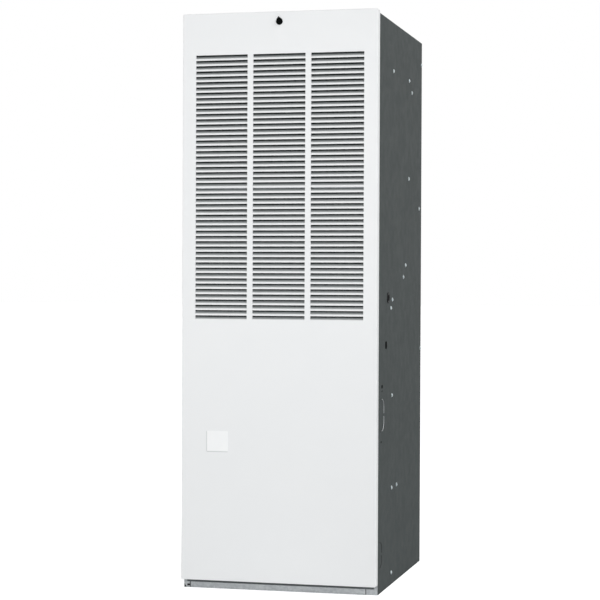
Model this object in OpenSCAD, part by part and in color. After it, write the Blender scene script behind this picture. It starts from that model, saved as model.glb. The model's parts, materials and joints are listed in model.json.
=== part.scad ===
// Downflow forced-air gas furnace for a small house: a tall sheet-metal cabinet with one
// full-height louvred door, a blower above and a sealed gas burner and heat exchanger below.
// Frame: +X to the viewer's right, +Y to the back, +Z up. The origin is the middle of the
// footprint at floor level.

/* [Cabinet] */
// Width across the two side panels
cabinet_w = 494; // [484:1:520]
// Depth from the front flanges to the back of the side panels
cabinet_d = 584; // [580:1:620]
// Height of the side panels
cabinet_h = 1422; // [1410:1:1500]
// Thickness of the cabinet's sheet metal
sheet_t = 1.2; // [0.9:0.1:1.5]
// Width of the flange turned in at the front of a side panel
front_flange = 25; // [23:1:28]
// Width of the flange turned in at the back of a side panel
rear_flange = 16; // [12:1:22]
// Width of the flanges folded on the inner panels
fold_w = 15; // [10:1:18]
// Height of the front rail under the top panel
header_h = 62; // [55:1:80]
// Height of the front rail at the blower deck
divider_h = 40; // [30:1:50]
// Underside of the blower deck above the floor
deck_z = 640; // [632:1:648]
// Depth of the burner compartment behind the cabinet's front
vestibule_d = 165; // [162:1:175]
// Height of the base pan's turned-up edge
base_fold = 20; // [14:1:24]
// Thickness of the insulation slabs
slab_t = 12; // [8:1:14]

/* [Duct openings] */
// Width of the warm-air opening in the base
discharge_w = 352; // [300:1:380]
// Depth of the warm-air opening in the base
discharge_d = 330; // [280:1:340]
// Distance from the burner compartment's wall to the warm-air opening
discharge_gap = 34; // [25:1:45]
// Radius of the hole for the gas line in the base
gas_hole_r = 22; // [18:1:26]
// Radius of the floor screw holes
floor_hole_r = 3.2; // [2.5:0.1:4]
// Floor screw holes in from the cabinet's sides
floor_inset_x = 32; // [30:1:44]
// Floor screw holes in from the cabinet's front and back
floor_inset_y = 27; // [25:1:32]

/* [Base rail] */
// Height of the bright rail below the door
rail_h = 21; // [16:1:22]
// Width of the left corner bracket
left_bracket_w = 15; // [13:1:18]
// Width of the right corner bracket
right_bracket_w = 28; // [20:1:34]
// Gap between the rail and its corner brackets
rail_gap = 2; // [1:0.5:4]
// Height of the corner brackets behind the door
bracket_h = 42; // [40:1:50]
// Radius of the studs that locate the door
stud_r = 3; // [2:0.5:3.5]
// Length of those studs
stud_len = 12; // [8:1:16]

/* [Door] */
// How far the door stands past each side panel
door_side = 0.5; // [0:0.5:3]
// How far the door's top stands above the cabinet
door_rise = 8; // [7:1:14]
// Underside of the door above the floor
door_z = 23; // [23:0.5:26]
// Depth of the door pan
door_t = 23; // [22:0.5:30]
// Thickness of the door's sheet metal
door_sheet = 1; // [0.8:0.1:1.2]
// Radius of the door's corners
door_corner_r = 4; // [2:0.5:8]
// Width of the lip behind the door's edges
door_lip = 14; // [12:1:16]
// Gap between the door's lip and the cabinet
seal_gap = 1.8; // [1.6:0.1:2.5]
// Width of the foam gasket
gasket_w = 6; // [4:0.5:7]

/* [Louvres] */
// Columns of louvres
louvre_columns = 3; // [2:1:3]
// Least gap between the rail at the blower deck and the lowest louvre
louvre_foot = 8; // [8:1:40]
// Height from one louvre to the next
louvre_pitch = 13.16; // [12.5:0.02:13.2]
// Plain margin beside the louvres
louvre_margin = 34.25; // [34:0.25:42]
// Plain strip between two columns
mullion_w = 14.5; // [10:0.5:18]
// Height of the pressed window of one louvre
louvre_window = 9.3; // [8:0.1:10]
// Open slot above the blade
louvre_slot = 3.2; // [2.5:0.1:3.8]
// How far the blade is pressed inwards
louvre_depth = 7; // [5:0.5:7.5]
// Distance from the door's top to the first louvre
louvre_drop = 103.5; // [95:0.5:110]

/* [Label and latch] */
// Width of the blank label
label_w = 55; // [40:1:70]
// Height of the blank label
label_h = 52; // [40:1:70]
// Middle of the label from the middle of the door
label_x = -155.5; // [-170:0.5:-120]
// Middle of the label above the floor
label_z = 369; // [300:1:420]
// Thickness of the label
label_t = 0.4; // [0.2:0.1:1]
// Radius of the latch knob
knob_r = 8.2; // [7:0.1:10]
// Height of the knob's point above its axis
knob_tip = 13.5; // [12:0.5:16]
// How far the knob stands out of the door
knob_out = 7; // [4:0.5:10]
// Distance from the door's top to the latch axis
latch_drop = 25; // [24:0.5:30]
// Radius of the latch shaft
latch_shaft_r = 3.5; // [2.5:0.5:4]
// Length of the cam from the latch axis
cam_len = 22; // [16:1:26]
// Width of the cam
cam_w = 8; // [8:0.5:10]
// Thickness of the cam
cam_t = 2.5; // [1.5:0.5:3]

/* [Filters] */
// How far a filter reaches past the louvres on each side
filter_side = 1.75; // [1:0.25:2.5]
// Thickness of a filter
filter_t = 19; // [14:1:19]
// How far the filters reach past the louvres
filter_overlap = 5; // [3:1:8]
// Width of the cardboard frame round a filter
filter_rim = 14; // [10:1:18]
// Pleats across a filter
filter_pleats = 30; // [20:1:36]
// Height of the lips that hold a filter
rail_lip = 10; // [6:1:14]

/* [Blower] */
// Radius of the blower wheel
wheel_r = 100; // [90:1:102]
// Width of the blower wheel
wheel_w = 170; // [150:1:176]
// Blades of the blower wheel
wheel_blades = 36; // [24:1:40]
// Radius of the inlet rings
inlet_r = 70; // [68:1:74]
// Width of the blower housing
scroll_w = 190; // [185:1:196]
// Housing radius at the outlet
scroll_r_max = 146; // [140:1:150]
// Housing radius at the cut-off
scroll_r_min = 108; // [106:1:112]
// Middle of the blower from the middle of the cabinet
blower_x = -20; // [-26:1:-14]
// Blower axis behind the burner compartment's wall
blower_back = 222; // [215:1:228]
// Blower axis above the deck
blower_rise = 149; // [142:1:170]
// Radius of the blower motor
motor_r = 52; // [46:1:54]
// Length of the blower motor
motor_len = 105; // [90:1:110]
// Radius of the blower shaft
shaft_r = 6.35; // [5:0.05:8]
// Radius of the run capacitor
capacitor_r = 22; // [18:1:26]
// Height of the run capacitor
capacitor_h = 80; // [60:1:110]

/* [Coil space] */
// Height of the coil rails above the deck
coil_rail_rise = 362; // [350:1:370]
// Width of the coil rails
coil_rail_w = 30; // [20:1:36]
// Height of the coil rails' upright leg
coil_rail_h = 45; // [30:1:55]

/* [Vent pipes] */
// Outer radius of the combustion-air pipe
air_pipe_r = 63.5; // [60:0.5:66]
// Outer radius of the flue pipe
flue_r = 38; // [36:0.5:40]
// Wall of both pipes
pipe_t = 1; // [0.8:0.1:1.2]
// Gap between the left side panel and the air pipe
pipe_gap = 17.3; // [14.3:0.5:22.3]
// Pipe axis in front of the burner compartment's wall
pipe_front = 68; // [66:1:72]
// Height of the pipe collars above the cabinet
collar_h = 15; // [12:1:16]

/* [Heat exchanger] */
// Radius of the primary drum
drum_r = 118; // [105:1:119]
// Middle of the drum and burner from the middle of the cabinet
drum_x = 40; // [38:1:42]
// Gap between the drum and the burner compartment's wall
drum_gap = 18; // [14:1:22]
// Gap between the heat exchanger's top and the blower deck
exchanger_drop = 40; // [36:1:60]
// Height of the heat exchangers
exchanger_h = 410; // [390:1:420]
// Wall of the heat exchangers
exchanger_t = 1.5; // [1:0.1:2]
// Width of the secondary exchanger
radiator_w = 320; // [310:1:330]
// Depth of the secondary exchanger
radiator_d = 60; // [45:1:62]
// Gap between the drum and the secondary exchanger
radiator_gap = 41; // [34:1:44]
// Radius of the two crossover tubes
crossover_r = 28; // [22:1:30]
// Radius of the return tube to the draught fan
return_r = 30; // [24:1:31]

/* [Burner] */
// Height of the burner axis above the floor
burner_z = 300; // [295:1:310]
// Radius of the burner's body
burner_r = 20; // [16:1:21]
// Width of the burner box
burner_box_w = 124; // [110:1:126]
// Height of the burner box
burner_box_h = 116; // [100:1:118]
// Depth of the burner box
burner_box_d = 118; // [114:1:124]
// Radius of the gas manifold
manifold_r = 8; // [6:0.5:9]
// Width of the gas valve
valve_w = 76; // [60:1:78]
// Height of the gas valve
valve_h = 80; // [70:1:84]
// Depth of the gas valve
valve_d = 68; // [56:1:72]
// Gap between the gas valve and the right side panel
valve_gap = 35.8; // [31.8:0.5:39.8]
// Thread radius of the gas inlet
gas_inlet_r = 9.3; // [8:0.1:11]
// Radius of the gas valve's knob
valve_knob_r = 14; // [10:1:17]

/* [Draught fan] */
// Height of the draught fan's axis above the floor
fan_z = 330; // [325:1:335]
// Largest radius of its housing
fan_r_max = 76; // [74:1:78]
// Smallest radius of its housing
fan_r_min = 62; // [60:1:66]
// Depth of its housing
fan_d = 58; // [50:1:62]
// Radius of its wheel
fan_wheel_r = 52; // [44:1:54]
// Radius of its motor
fan_motor_r = 40; // [34:1:42]
// Length of its motor
fan_motor_len = 58; // [46:1:60]
// Radius of its shaft
fan_shaft_r = 4; // [3:0.5:5]

/* [Controls] */
// Width of the control box
control_w = 180; // [170:1:185]
// Height of the control box
control_h = 228; // [215:1:240]
// Depth of the control box
control_d = 60; // [54:1:62]
// Gap between the control box and the right side panel
control_gap = 15.8; // [11.8:0.5:20.8]
// Height of the plate that carries the service switch
switch_plate_h = 52; // [44:1:60]
// Travel of the door switch's plunger
plunger_travel = 3; // [2:0.5:4]
// Radius of the door switch's plunger
plunger_r = 2.4; // [1.8:0.1:2.6]
// Height of the door switch above the floor
door_switch_z = 1100; // [1060:1:1180]
// Gap between the pressure switch and the right side panel
pressure_gap = 26.8; // [24.8:0.5:30.8]
// Radius of the pressure switch
pressure_r = 34; // [28:1:36]
// Tilt of the service switch from its middle
rocker_tilt = 10; // [6:1:11]

/* [Side panel holes] */
// Radius of the hole for the power cable
cable_hole_r = 11; // [9:0.5:12]
// Bore of the cable bushing
bushing_bore_r = 8; // [6:0.5:8.5]
// Height of the cable hole above the floor
cable_hole_z = 727; // [715:1:740]
// Cable hole behind the cabinet's front
cable_hole_y = 116; // [110:1:125]
// Radius of the punched knock-out
knockout_r = 10.5; // [8:0.5:12]
// Width of the slits round the knock-outs
slit_w = 1.6; // [0.8:0.1:1.6]
// Height of the gas line's knock-out
gas_knockout_h = 78; // [60:1:90]
// Depth of the gas line's knock-out
gas_knockout_d = 67; // [50:1:75]
// Middle of the gas line's knock-out above the floor
gas_knockout_z = 438; // [425:1:450]

/* [Hidden] */
$fn = 64;

// Gaps: between fitted pieces, round a turning shaft, and round a piece seated in a hole
fit_gap = 0.3;
running_gap = 0.05;
seat_gap = 0.1;
// Overshoot of a cutting solid past the face it cuts
past = 1;

// Screw with a washer face and a six-sided head
screw_shank_r = 2;
screw_washer_r = 5.2;
screw_washer_t = 0.8;
screw_head_r = 4;
screw_head_t = 1.6;
screw_out = screw_washer_t + screw_head_t;

// Main planes
overall_d = knob_out + door_t + seal_gap + cabinet_d + screw_out;
door_y = -overall_d / 2 + knob_out;
door_back = door_y + door_t;
cabinet_y = door_back + seal_gap;
back_y = cabinet_y + cabinet_d;
half_w = cabinet_w / 2;
inner_x = half_w - sheet_t;
opening_x = half_w - front_flange;
rail_front = cabinet_y + sheet_t;
rail_back = rail_front + sheet_t;
panel_back = back_y - sheet_t;
panel_front = panel_back - sheet_t;
vestibule_y = cabinet_y + vestibule_d;
vestibule_back = vestibule_y + sheet_t;
deck_top = deck_z + sheet_t;
top_z = cabinet_h - sheet_t;
door_top = cabinet_h + door_rise;
door_w = cabinet_w + 2 * door_side;

// Door
latch_z = door_top - latch_drop;
louvre_top = door_top - louvre_drop;
bank_w = door_w - 2 * louvre_margin;
louvre_w = (bank_w - (louvre_columns - 1) * mullion_w) / louvre_columns;
louvre_rows = floor((louvre_top - deck_z - divider_h / 2 - louvre_foot) / louvre_pitch);
bank_h = louvre_rows * louvre_pitch;
filter_y = door_y + door_sheet + louvre_depth + 1.8;
filter_w = bank_w + 2 * filter_side;
filter_rail_t = 1.2;
filter_bottom = louvre_top - bank_h - filter_overlap;
filter_gap = 3;
filter_h = (bank_h + 2 * filter_overlap - filter_gap) / 2;
filter_mid = filter_bottom + filter_h + filter_gap / 2;
filter_top = filter_mid + filter_gap / 2 + filter_h;
cam_y = rail_back + 0.6;
cam_slot_gap = 0.6;
door_stud_x = half_w - 9;
door_stud_z = door_z + door_lip / 2;

// Side screws: distance behind the cabinet's front and height above the floor
fold_screw = 5;
side_screws = [
    [176, cabinet_h - 122], [393, cabinet_h - 123], [433, cabinet_h - 151],
    [cabinet_d - 8, cabinet_h - 61], [392, deck_z + 400], [548, deck_z + 327],
    [350, deck_z + 171], [320, deck_z + 140], [170, deck_z + 82], [153, deck_z + 61],
    [vestibule_d + fold_screw, 480], [cabinet_d - 8, 586], [235, 247],
    [vestibule_d + fold_screw, 246], [vestibule_d + fold_screw, 31]
];
back_screw_z = [60, 480, 900, cabinet_h - 60];
back_screw_x = half_w - rear_flange / 2;

// Base openings
discharge_y = vestibule_back + discharge_gap;
floor_hole_x = cabinet_w - 2 * floor_inset_x;
floor_hole_y = cabinet_d - 2 * floor_inset_y;
floor_y = cabinet_y + cabinet_d / 2;
valve_x = inner_x - valve_gap - valve_w / 2;
gas_x = valve_x;
gas_y = vestibule_y - 95;

// Vent pipes and draught fan
pipe_y = vestibule_y - pipe_front;
pipe_top = cabinet_h + collar_h;
bead_h = 3;
bead_out = 1.5;
pipe_x = -inner_x + pipe_gap + air_pipe_r;
fan_x = pipe_x + fan_r_max - flue_r;
fan_front = vestibule_y - fan_d;
fan_box_z = fan_z + 50;
fan_box_top = fan_z + 105;
fan_wall = 1;
fan_socket_h = 22;
fan_socket_r = flue_r + seat_gap;
fan_collar_r = fan_socket_r + fan_wall;
fan_flange_w = fan_collar_r + 3;
fan_plate_t = 4;
fan_motor_front = fan_front - fan_plate_t - fan_motor_len;

// Heat exchanger
drum_y = vestibule_back + drum_gap + drum_r;
radiator_y = drum_y + drum_r + radiator_gap;
radiator_x = -10;
exchanger_top = deck_z - exchanger_drop;
exchanger_z = exchanger_top - exchanger_h;
crossover_z = exchanger_top - 60;
crossover_x = 45;
hanger_w = 30;
hanger_t = 2;

// Burner compartment
burner_front = vestibule_y - burner_box_d;
box_top = burner_z + burner_box_h / 2;
rod_x = burner_r + 2;
rod_y = vestibule_y - 14;
reset_y = vestibule_y - 62;
reset_r = 3;
reset_travel = 1.5;
sight_z = burner_z + 22;
sight_r = 13;
sight_t = 3;
sight_pivot_z = sight_z + 24;
pressure_x = inner_x - pressure_gap - pressure_r;
pressure_z = 470;
limit_x = pressure_x - 35;
limit_z = 520;
valve_front = gas_y - valve_d / 2;
valve_z = burner_z - valve_h / 2;

// Blower
blower_y = vestibule_y + blower_back;
blower_z = deck_top + blower_rise;
scroll_x0 = blower_x - scroll_w / 2;
scroll_x1 = blower_x + scroll_w / 2;
scroll_sweep = 280;
outlet_y0 = blower_y + scroll_r_min * cos(scroll_sweep);
outlet_y1 = blower_y + scroll_r_max;
neck_z = deck_top + sheet_t;
neck_flange = 14;
motor_x = blower_x + 45;

// Controls
control_y = cabinet_y + 35;
control_back = control_y + control_d;
control_x = inner_x - control_gap - control_w;
harness_x = control_x + control_w - 30;
harness_y = control_y + control_d / 2;
motor_lead_x = control_x + control_w - 80;
harness_r = 14;
switch_x = control_x + 26;
switch_z = deck_top + switch_plate_h / 2;
plunger_x = half_w - front_flange / 2 + 2;
plunger_tip = door_back + fit_gap;
rocker_y = control_y + 3;
rocker_pin_r = 1.2;

// A block from its low corner to its high corner
module block(low, high) translate(low) cube(high - low);

// A round bar along X, Y or Z from its start point
module bar_x(start, len, r) translate(start) rotate([0, 90, 0]) cylinder(r = r, h = len);
module bar_y(start, len, r) translate(start) rotate([-90, 0, 0]) cylinder(r = r, h = len);
module bar_z(start, len, r) translate(start) cylinder(r = r, h = len);

// A flat shape drawn in X and Z, given thickness along Y from y
module slab_y(y, t) translate([0, y + t, 0]) rotate([90, 0, 0]) linear_extrude(t) children();

// A flat shape drawn in Y and Z, given thickness along X from x
module slab_x(x, t) translate([x, 0, 0]) rotate([90, 0, 90]) linear_extrude(t) children();

// A rectangle with round corners from its low corner to its high corner
module round_rect(low, high, r) {
    translate(low + [r, 0]) square(high - low - [2 * r, 0]);
    translate(low + [0, r]) square(high - low - [0, 2 * r]);
    for (x = [low[0] + r, high[0] - r], y = [low[1] + r, high[1] - r])
        translate([x, y]) circle(r);
}

// Points of a spiral fan casing between two angles
function spiral(from, sweep, r_max, r_min) = [
    for (i = [0 : 28])
        let (a = from + sweep * i / 28, r = r_max - (r_max - r_min) * i / 28)
            r * [cos(a), sin(a)]
];

// Screw along +X with its washer face at the given point
module screw_x(at, shank) {
    translate(at) rotate([0, 90, 0]) {
        translate([0, 0, -shank]) cylinder(r = screw_shank_r, h = shank + screw_washer_t);
        cylinder(r = screw_washer_r, h = screw_washer_t);
        translate([0, 0, screw_washer_t]) cylinder(r = screw_head_r, h = screw_head_t, $fn = 6);
    }
}

// A cable or soft tube swept along a route that is rounded twice at its corners
function rounded(p) = [
    p[0],
    for (i = [0 : len(p) - 2]) each [p[i] * 0.75 + p[i + 1] * 0.25, p[i] * 0.25 + p[i + 1] * 0.75],
    p[len(p) - 1]
];
function unit(v) = v / norm(v);
function heading(p, i) = unit(p[min(i + 1, len(p) - 1)] - p[max(i - 1, 0)]);
function sidewards(p, i, last) =
    i == len(p) ? [] :
    let (t = heading(p, i), s = unit(last - (last * t) * t))
        concat([s], sidewards(p, i + 1, s));

module cable(route, r) {
    sides = 8;
    p = rounded(rounded(route));
    s = sidewards(p, 0, [0.3, 0.9, 0.2]);
    rings = [
        for (i = [0 : len(p) - 1])
            let (b = cross(heading(p, i), s[i]))
                each [for (k = [0 : sides - 1]) p[i] + r * (cos(360 * k / sides) * s[i]
                                                             + sin(360 * k / sides) * b)]
    ];
    wall = [
        for (i = [0 : len(p) - 2], k = [0 : sides - 1])
            let (a = i * sides + k, b = i * sides + (k + 1) % sides)
                each [[a, a + sides, b + sides], [a, b + sides, b]]
    ];
    first = [for (k = [0 : sides - 1]) k];
    last = [for (k = [sides - 1 : -1 : 0]) (len(p) - 1) * sides + k];
    polyhedron(points = rings, faces = concat(wall, [first, last]));
}

// ---- Cabinet ----

// The right-hand side panel without its holes
module side_sheet() {
    block([inner_x, cabinet_y, 0], [half_w, back_y, cabinet_h]);
    block([opening_x, cabinet_y, 0], [half_w, rail_front, cabinet_h]);
    block([half_w - rear_flange, panel_back, 0], [half_w, back_y, cabinet_h]);
}

// Slits left round a knock-out that is open to the panel's front edge
module edge_knockout(z, h, d, corner) {
    for (part = [[0, 0.42], [0.5, 1]])
        intersection() {
            block([inner_x - past, rail_front, z - h / 2 - past],
                  [half_w + past, cabinet_y + d + past, z + h / 2 + past]);
            difference() {
                slab_x(inner_x - past, sheet_t + 2 * past)
                    round_rect([cabinet_y - d, z - h / 2], [cabinet_y + d, z + h / 2], corner);
                slab_x(inner_x - 2 * past, sheet_t + 4 * past)
                    round_rect([cabinet_y - d + slit_w, z - h / 2 + slit_w],
                               [cabinet_y + d - slit_w, z + h / 2 - slit_w], corner - slit_w);
                block([inner_x - 2 * past, cabinet_y, z - 2.5], [half_w + 2 * past, back_y, z + 2.5]);
                block([inner_x - 3 * past, cabinet_y - d, z - h],
                      [half_w + 3 * past, cabinet_y + front_flange, z + h]);
            }
        }
}

// Ring of slits round a punched disc that two tabs hold
module disc_knockout(y, z) {
    difference() {
        bar_x([inner_x - past, y, z], sheet_t + 2 * past, knockout_r);
        bar_x([inner_x - 2 * past, y, z], sheet_t + 4 * past, knockout_r - slit_w);
        block([inner_x - 2 * past, y - knockout_r - past, z - 1.5],
              [half_w + 2 * past, y + knockout_r + past, z + 1.5]);
    }
}

module side_panel() {
    difference() {
        side_sheet();
        for (s = side_screws)
            bar_x([inner_x - past, cabinet_y + s[0], s[1]], sheet_t + 2 * past,
                  screw_shank_r + seat_gap);
        for (z = back_screw_z)
            bar_y([back_screw_x, panel_back - past, z], sheet_t + 2 * past,
                  screw_shank_r + seat_gap);
        disc_knockout(cabinet_y + 92, deck_z - 31);
        edge_knockout(gas_knockout_z, gas_knockout_h, gas_knockout_d, 22);
        edge_knockout(95, 62, 47, 18);
        bar_x([inner_x - past, cabinet_y + 50, 508], sheet_t + 2 * past, 4.5);
        bar_x([inner_x - past, cabinet_y + 52, 497], sheet_t + 2 * past, 2.2);
        bar_x([inner_x - past, cabinet_y + 39, 372], sheet_t + 2 * past, 2.6);
    }
}

module cabinet_left_side() {
    color("dimgray") mirror([1, 0, 0]) side_panel();
}

module cabinet_right_side() {
    color("dimgray") difference() {
        side_panel();
        bar_x([inner_x - past, cabinet_y + cable_hole_y, cable_hole_z], sheet_t + 2 * past,
              cable_hole_r + seat_gap);
        bar_y([plunger_x, cabinet_y - past, door_switch_z], sheet_t + 2 * past,
              plunger_r + fit_gap);
    }
}

module cabinet_back() {
    color("dimgray") difference() {
        block([-inner_x, panel_front, 0], [inner_x, panel_back, top_z]);
        for (x = [-back_screw_x, back_screw_x], z = back_screw_z)
            bar_y([x, panel_front - past, z], sheet_t + 2 * past, screw_shank_r + seat_gap);
    }
}

module top_panel() {
    color("dimgray") difference() {
        union() {
            block([-inner_x, rail_front, top_z], [inner_x, panel_back, cabinet_h]);
            for (x = [-inner_x, inner_x - sheet_t])
                block([x, rail_back, top_z - fold_w], [x + sheet_t, panel_front, top_z]);
        }
        bar_z([pipe_x, pipe_y, top_z - past], sheet_t + 2 * past, air_pipe_r + seat_gap);
    }
}

module header_rail() {
    color("dimgray") difference() {
        block([-inner_x, rail_front, cabinet_h - header_h], [inner_x, rail_back, top_z]);
        slab_y(rail_front - past, sheet_t + 2 * past)
            round_rect([-cam_w / 2 - cam_slot_gap, latch_z - cam_len - cam_slot_gap],
                       [cam_w / 2 + cam_slot_gap, latch_z + cam_w / 2 + cam_slot_gap], 4);
    }
}

module divider_rail() {
    color("silver") block([-inner_x, rail_front, deck_z - divider_h / 2],
                          [inner_x, rail_back, deck_z + divider_h / 2]);
}

module base_pan() {
    color("silver") difference() {
        union() {
            block([-inner_x, rail_front, 0], [inner_x, panel_front, sheet_t]);
            block([-inner_x, rail_front, 0], [inner_x, rail_back, base_fold]);
            for (x = [-inner_x, inner_x - sheet_t])
                block([x, rail_back, 0], [x + sheet_t, panel_front, base_fold]);
            for (x = [-discharge_w / 2 - sheet_t, discharge_w / 2])
                block([x, discharge_y - sheet_t, 0],
                      [x + sheet_t, discharge_y + discharge_d + sheet_t, base_fold]);
            for (y = [discharge_y - sheet_t, discharge_y + discharge_d])
                block([-discharge_w / 2 - sheet_t, y, 0],
                      [discharge_w / 2 + sheet_t, y + sheet_t, base_fold]);
        }
        block([-discharge_w / 2, discharge_y, -past],
              [discharge_w / 2, discharge_y + discharge_d, base_fold + past]);
        bar_z([gas_x, gas_y, -past], sheet_t + 2 * past, gas_hole_r);
        for (x = [-floor_hole_x / 2, floor_hole_x / 2], y = [-floor_hole_y / 2, floor_hole_y / 2])
            bar_z([x, floor_y + y, -past], sheet_t + 2 * past, floor_hole_r);
    }
}

module base_front_rail() {
    color("gainsboro") block([-half_w + left_bracket_w + rail_gap, cabinet_y - sheet_t, 0],
                             [half_w - right_bracket_w - rail_gap, cabinet_y, rail_h]);
}

// Corner brackets with the studs that the door's bottom lip drops over
module base_brackets() {
    color("lightgray") {
        difference() {
            block([-half_w, cabinet_y - sheet_t, 0],
                  [-half_w + left_bracket_w, cabinet_y, bracket_h]);
            slab_y(cabinet_y - sheet_t - past, sheet_t + 2 * past)
                polygon([[-half_w - past, 12], [-half_w, 12], [-half_w + 7, 0],
                         [-half_w + 7, -past], [-half_w - past, -past]]);
            block([-half_w + 8, cabinet_y - sheet_t - past, 4],
                  [-half_w + left_bracket_w + past, cabinet_y + past, 9]);
        }
        block([half_w - right_bracket_w, cabinet_y - sheet_t, 0], [half_w, cabinet_y, bracket_h]);
        for (x = [-door_stud_x, door_stud_x])
            bar_y([x, cabinet_y - sheet_t - stud_len, door_stud_z], stud_len, stud_r);
    }
}
module insulation_lower() {
    low = base_fold + 2;
    high = deck_z - fold_w - 1;
    side_y = vestibule_back + fold_w + 1;
    color("lightyellow") {
        for (x = [-inner_x, inner_x - slab_t])
            block([x, side_y, low], [x + slab_t, panel_front - slab_t - fit_gap, high]);
        block([-inner_x, panel_front - slab_t, low], [inner_x, panel_front, high]);
    }
}

module insulation_upper() {
    low = deck_top;
    high = deck_top + coil_rail_rise - 2;
    color("darkslategray") {
        for (x = [-inner_x, inner_x - slab_t])
            block([x, vestibule_back, low], [x + slab_t, panel_front - slab_t - fit_gap, high]);
        block([-inner_x, panel_front - slab_t, low], [inner_x, panel_front, high]);
    }
}

module cabinet_screws() {
    color("white") {
        for (s = side_screws) {
            screw_x([half_w, cabinet_y + s[0], s[1]], sheet_t);
            mirror([1, 0, 0]) screw_x([half_w, cabinet_y + s[0], s[1]], sheet_t);
        }
        for (x = [-back_screw_x, back_screw_x], z = back_screw_z)
            translate([x, back_y, z]) rotate([0, 0, 90]) screw_x([0, 0, 0], 2 * sheet_t);
    }
}

module cable_bushing() {
    y = cabinet_y + cable_hole_y;
    color("black") difference() {
        union() {
            bar_x([half_w, y, cable_hole_z], 2, cable_hole_r + 2.5);
            bar_x([inner_x - 3, y, cable_hole_z], sheet_t + 4, cable_hole_r);
            bar_x([inner_x - 3, y, cable_hole_z], 3, cable_hole_r + 1.2);
        }
        bar_x([inner_x - 3 - past, y, cable_hole_z], sheet_t + 5 + 2 * past, bushing_bore_r);
    }
}

module coil_rails() {
    z = deck_top + coil_rail_rise;
    color("silver") for (s = [0, 1]) mirror([s, 0, 0]) {
        block([inner_x - coil_rail_w, vestibule_y, z], [inner_x, panel_front, z + sheet_t]);
        block([inner_x - sheet_t, vestibule_y, z], [inner_x, panel_front, z + coil_rail_h]);
    }
}

module blower_deck() {
    color("silver") difference() {
        union() {
            block([-inner_x, rail_back, deck_z], [inner_x, panel_front, deck_top]);
            for (x = [-inner_x, inner_x - sheet_t])
                block([x, vestibule_back + fold_w, deck_z - fold_w], [x + sheet_t, panel_front, deck_z]);
        }
        block([scroll_x0 + sheet_t, outlet_y0 + sheet_t, deck_z - past],
              [scroll_x1 - sheet_t, outlet_y1 - sheet_t, deck_top + past]);
        bar_z([pipe_x, pipe_y, deck_z - past], sheet_t + 2 * past, air_pipe_r - 3.5);
        bar_z([harness_x, harness_y, deck_z - past], sheet_t + 2 * past, harness_r);
    }
}

module vestibule_panel() {
    color("silver") difference() {
        union() {
            block([-inner_x, vestibule_y, sheet_t], [inner_x, vestibule_back, deck_z]);
            for (x = [-inner_x + sheet_t, inner_x - 2 * sheet_t])
                block([x, vestibule_y, base_fold + 1], [x + sheet_t, vestibule_back + fold_w, deck_z]);
        }
        for (x = [-inner_x - past, inner_x - sheet_t])
            block([x, vestibule_y - past, 0], [x + sheet_t + past, vestibule_back + past, base_fold + 1]);
        bar_y([drum_x, vestibule_y - past, burner_z], sheet_t + 2 * past, burner_r + seat_gap);
        bar_y([fan_x, vestibule_y - past, fan_z], sheet_t + 2 * past, return_r + seat_gap);
    }
}

// ---- Door ----

// One louvre pressed inwards: a sloping blade closed by a cheek at each end
module louvre(x, z) {
    foot = z - louvre_window;
    tip = z - louvre_slot;
    slope = (tip - foot) / louvre_depth;
    cheek_t = 0.8;
    difference() {
        slab_x(x, louvre_w)
            polygon([[door_y, foot], [door_y, z], [door_y + door_sheet, z], [door_y + louvre_depth, tip],
                     [door_y + louvre_depth + door_sheet, tip], [door_y + door_sheet, foot]]);
        slab_x(x + cheek_t, louvre_w - 2 * cheek_t)
            polygon([[door_y - past, foot - slope * past], [door_y + louvre_depth, tip],
                     [door_y + louvre_depth, z], [door_y - past, z + past]]);
    }
}

module front_door() {
    half = door_w / 2;
    lip_x = half - door_lip;
    color("white") {
        difference() {
            slab_y(door_y, door_t) round_rect([-half, door_z], [half, door_top], door_corner_r);
            slab_y(door_y + door_sheet, door_t - 2 * door_sheet)
                round_rect([-half + door_sheet, door_z + door_sheet],
                           [half - door_sheet, door_top - door_sheet], door_corner_r - door_sheet);
            block([-lip_x, door_y + door_sheet, door_z + door_lip],
                  [lip_x, door_back + past, door_top - door_lip]);
            slab_y(door_y - past, door_sheet + 2 * past)
                for (c = [0 : louvre_columns - 1], r = [0 : louvre_rows - 1])
                    translate([-bank_w / 2 + c * (louvre_w + mullion_w),
                               louvre_top - r * louvre_pitch - louvre_window])
                        square([louvre_w, louvre_window]);
            bar_y([0, door_y - past, latch_z], door_sheet + 2 * past, latch_shaft_r + fit_gap);
            for (x = [-door_stud_x, door_stud_x])
                bar_y([x, door_back - door_sheet - past, door_stud_z], door_sheet + 2 * past,
                      stud_r + fit_gap);
        }
        for (c = [0 : louvre_columns - 1], r = [0 : louvre_rows - 1])
            louvre(-bank_w / 2 + c * (louvre_w + mullion_w), louvre_top - r * louvre_pitch);
    }
}

module door_label() {
    color("white") block([label_x - label_w / 2, door_y - label_t, label_z - label_h / 2],
                         [label_x + label_w / 2, door_y, label_z + label_h / 2]);
}

module door_gasket() {
    t = seal_gap - fit_gap;
    out = door_w / 2 - door_sheet;
    color("black") {
        for (x = [-out, out - gasket_w])
            block([x, door_back, bracket_h + 3], [x + gasket_w, door_back + t, cabinet_h - 7]);
        block([-out, door_back, cabinet_h - 7], [out, door_back + t, cabinet_h - 2]);
    }
}

module door_insulation() {
    color("silver") block([-half_w + 30, door_y + door_sheet, 62],
                          [half_w - 30, door_y + door_sheet + slab_t, filter_bottom - 18]);
}

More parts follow.
